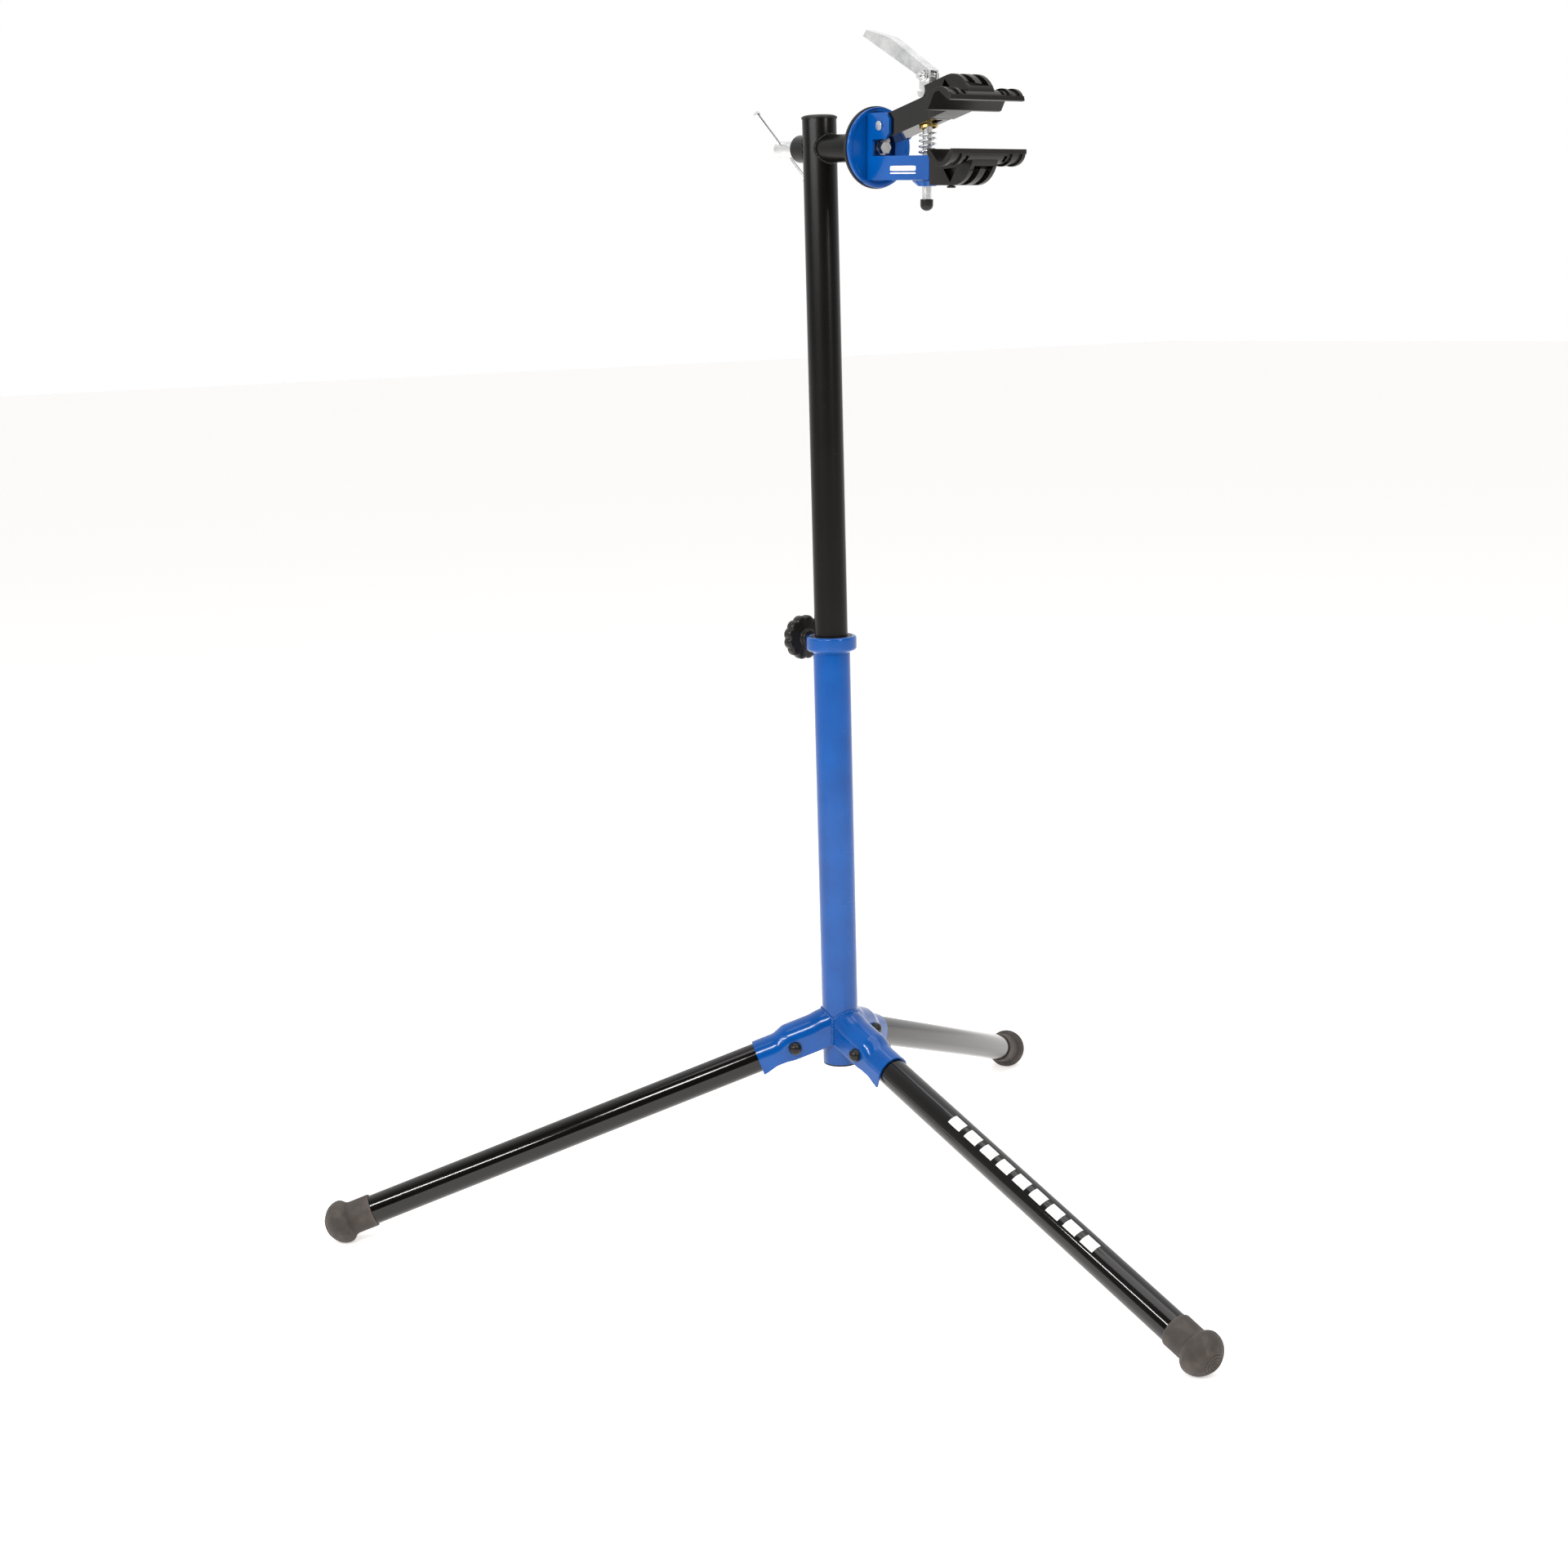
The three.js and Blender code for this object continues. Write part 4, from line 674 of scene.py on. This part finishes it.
axle_hole = 4.2
finished(turned("flange_plate", sleeve(axle_hole, 41, 97.1, 99.3, 0.5), head_centre, head_axis, 128),
         black_enamel, "mast", "black_paint", "brake_flange")
finished(turned("friction_ring", sleeve(axle_hole, 43, 99.4, 102.8, 0.7), head_centre, head_axis,
                128), moulded_nylon, "head", "dark_rubber", "friction_disc")
dressed("thrust_washer", 0.25, zinc_plate, "thrust_washer", "zinc_plate")
dressed("t_nut", 0.5, zinc_plate, "t_nut", "zinc_plate")
dressed("tommy_bar", 0.7, zinc_plate, "tommy_bar", "zinc_plate")
dressed("tommy_bar_end", 0.7, zinc_plate, "tommy_bar", "zinc_plate")
coat("axle_bush_front", moulded_nylon)
coat("axle_bush_rear", moulded_nylon)

# ---------------------------------------------------------------- head disc and fork
# A disc spun from steel sheet with a rolled rim and a pressed dimple, and the fork with the
# lower arm folded from 3 mm sheet and welded to its face, all in blue powder coat. A small
# plain white strip is printed on the arm's side.

disc_back, disc_face, disc_hole = 102.9, 106.9, 4.1
finished(turned("disc_pressing", [
    (disc_hole, disc_back),
    *softened([(39, disc_back), (42, disc_back), (42, disc_face), (37.5, disc_face), (35.5, 105.9),
               (17, 106.0), (15, 105.9), (12.5, 104.7), (6, 104.6), (disc_hole, 104.6)], 1.4, 5),
    (disc_hole, disc_back)], head_centre, head_axis, 128), blue_powder_coat, "head", "blue_paint",
    "head_disc")
dressed("fork_and_lower_arm", 1.0, blue_powder_coat, "head", "blue_paint")
dressed("rod_boss", 0.6, blue_powder_coat, "head", "blue_paint")
share = np.linspace(0, 1, 60)[:, None]
for name, z in (("fork_weld_top", 33.5), ("fork_weld_low", -32.0)):
    path = head_centre + (head_axis * (disc_face + 0.4) + head_side * (-15 + 30 * share)
                          + head_up * z) / 1000
    bead = 1.5 + 0.2 * np.sin(np.arange(60) * 1.1)
    finished(swept(name, path, np.tile(head_axis, (60, 1)), bead), blue_powder_coat, "head", "blue_paint")


def printed_strip(name, x0, x1, z0, z1):
    """A flat rounded strip just proud of the arm's side: a superellipse outline as four rings
    of (size, y), the first and the last of them shrunk to the strip's middle."""
    turn = np.linspace(0, 2 * math.pi, 96, endpoint=False)[:, None]
    size, y = np.array([(0, -17.02), (1, -17.02), (1, -17.12), (0, -17.12)]).T
    across, height = (np.sign(f) * np.abs(f) ** 0.25 * size for f in (np.cos(turn), np.sin(turn)))
    x = (x0 + x1) / 2 + (x1 - x0) / 2 * across
    z = (z0 + z1) / 2 + (z1 - z0) / 2 * height
    grid = head_centre + (head_axis * x[..., None] + head_side * y[:, None]
                          + head_up * z[..., None]) / 1000
    return skin(name, grid, crease=30)


for name, x0, x1, z0, z1 in (("arm_strip_upper", 147, 190, -24.6, -19.4),
                             ("arm_strip_lower", 147, 190, -27.6, -26.2)):
    finished(printed_strip(name, x0, x1, z0, z1), white_film, "head", "blue_paint")
dressed("axle_washer", 0.3, zinc_plate, "head", "zinc_plate")
dressed("axle_bolt", 0.5, zinc_plate, "head", "zinc_plate")

# ---------------------------------------------------------------- jaws
# Both jaws are one moulding used twice: glass-filled nylon, ribbed troughs with a V groove.
# A screw under each locks its spigot in the arm.

jaw_nylon = moulded("glass_filled_nylon", "0B0908", "2A2622", 0.3, 420.0, 0.00012)
dressed("lower_jaw", 0.8, jaw_nylon, "head", "black_plastic", 28)
dressed("upper_jaw", 0.8, jaw_nylon, "upper_arm", "black_plastic", 28)
dark_screw = plated("blackened_screw", "4A4A4A", "2C2C2C", 0.35)
dressed("lower_jaw_screw", 0.5, dark_screw, "head", "zinc_plate")
dressed("upper_jaw_screw", 0.5, dark_screw, "upper_arm", "zinc_plate")

# ---------------------------------------------------------------- upper arm
# A black enamelled square tube on a pin through the fork's ears.

dressed("upper_arm", 1.4, black_enamel, "upper_arm", "black_paint")
dressed("arm_pin", 0.6, zinc_plate, "upper_arm", "zinc_plate")

# ---------------------------------------------------------------- clamp screw and cam lever
# A zinc-plated screw runs down through both arms. The lever is bent from sheet to a narrow
# channel; its cheeks press a small saddle on the arm, and a spring opens the jaws again.

yellow_zinc = plated("yellow_passivated_zinc", "D8BE74", "A98C48", 0.28)
rod_centre = np.array(joints["clamp_screw_turn"]["pos_m"])
rod_x = (rod_centre - head_centre) @ head_axis * 1000
low_point = head_point(rod_x, 0, 0)
thread_low, thread_high, thread_pitch = -57.0, 54.0, 1.5
turn = np.linspace(0, 2 * math.pi, 40, endpoint=False)[:, None]
height = np.linspace(thread_low, thread_high, 1250)[None, :]
# thread: a rounded triangle wave that climbs one pitch in a turn, fading at both ends
wave = np.abs(((height / thread_pitch - turn / (2 * math.pi)) % 1) * 2 - 1)
fade = (smooth_step(height, thread_low, thread_low + 1.5)
        * (1 - smooth_step(height, thread_high - 3, thread_high)))
closed = (height < thread_low + 0.1) | (height > thread_high - 0.05)
radius = np.where(closed, 0, 4.95 - 0.55 * wave * fade)
grid = low_point + (head_axis * (radius * np.cos(turn))[..., None]
                    + head_side * (radius * np.sin(turn))[..., None]
                    + head_up * height[..., None]) / 1000
finished(skin("screw_thread", grid, crease=60), zinc_plate, "clamp_screw", "zinc_plate")
dressed("clamp_rod", 0.4, zinc_plate, "clamp_screw", "zinc_plate")

turn_down = np.radians(np.linspace(0, 88, 10))
finished(turned("screw_end_cap", [
    (5.1, -53.5), *softened([(6.4, -53.5), (6.8, -54), (6.75, -59.5)], 0.4),
    *[(6.75 * math.cos(t), -59.5 - 6.0 * math.sin(t)) for t in turn_down[1:]], (0, -65.5),
    (0, -57.1), (5.1, -57.1), (5.1, -53.5)], low_point, head_up, 48),
    glossy_nylon, "clamp_screw", "black_plastic", "rod_end_cap")

spring_foot, spring_top = -7.8, 14.5
coil = np.linspace(0, 1, 420)
turns = 4.5 * 2 * math.pi
climb = np.interp(coil, [0, 0.1, 0.9, 1], [0, 0.05, 0.95, 1])  # its end coils lie nearly flat
radial = head_axis * np.cos(coil * turns)[:, None] + head_side * np.sin(coil * turns)[:, None]
# the cup sits 0.9 mm off the screw's axis, so the coils lean towards it as they climb
path = low_point + (radial * 8.6 + head_axis * 0.9 * coil[:, None]
                    + head_up * (spring_foot + (spring_top - spring_foot) * climb)[:, None]) / 1000
spring = swept("spring_wire", path, radial, 0.95, 12)
spring.data.materials.append(zinc_plate)
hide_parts("clamp_spring")
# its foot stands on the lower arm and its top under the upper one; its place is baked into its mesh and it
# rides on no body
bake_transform(spring)
dressed("spring_cup", 0.4, yellow_zinc, "upper_arm", "yellow_zinc")
dressed("cam_saddle", 0.6, zinc_plate, "cam_saddle", "zinc_plate")
dressed("cam_lever", 0.35, zinc_plate, "cam_lever", "zinc_plate")
dressed("lever_bolt", 0.4, zinc_plate, "clamp_screw", "zinc_plate")
dressed("lever_nut", 0.4, zinc_plate, "clamp_screw", "zinc_plate")
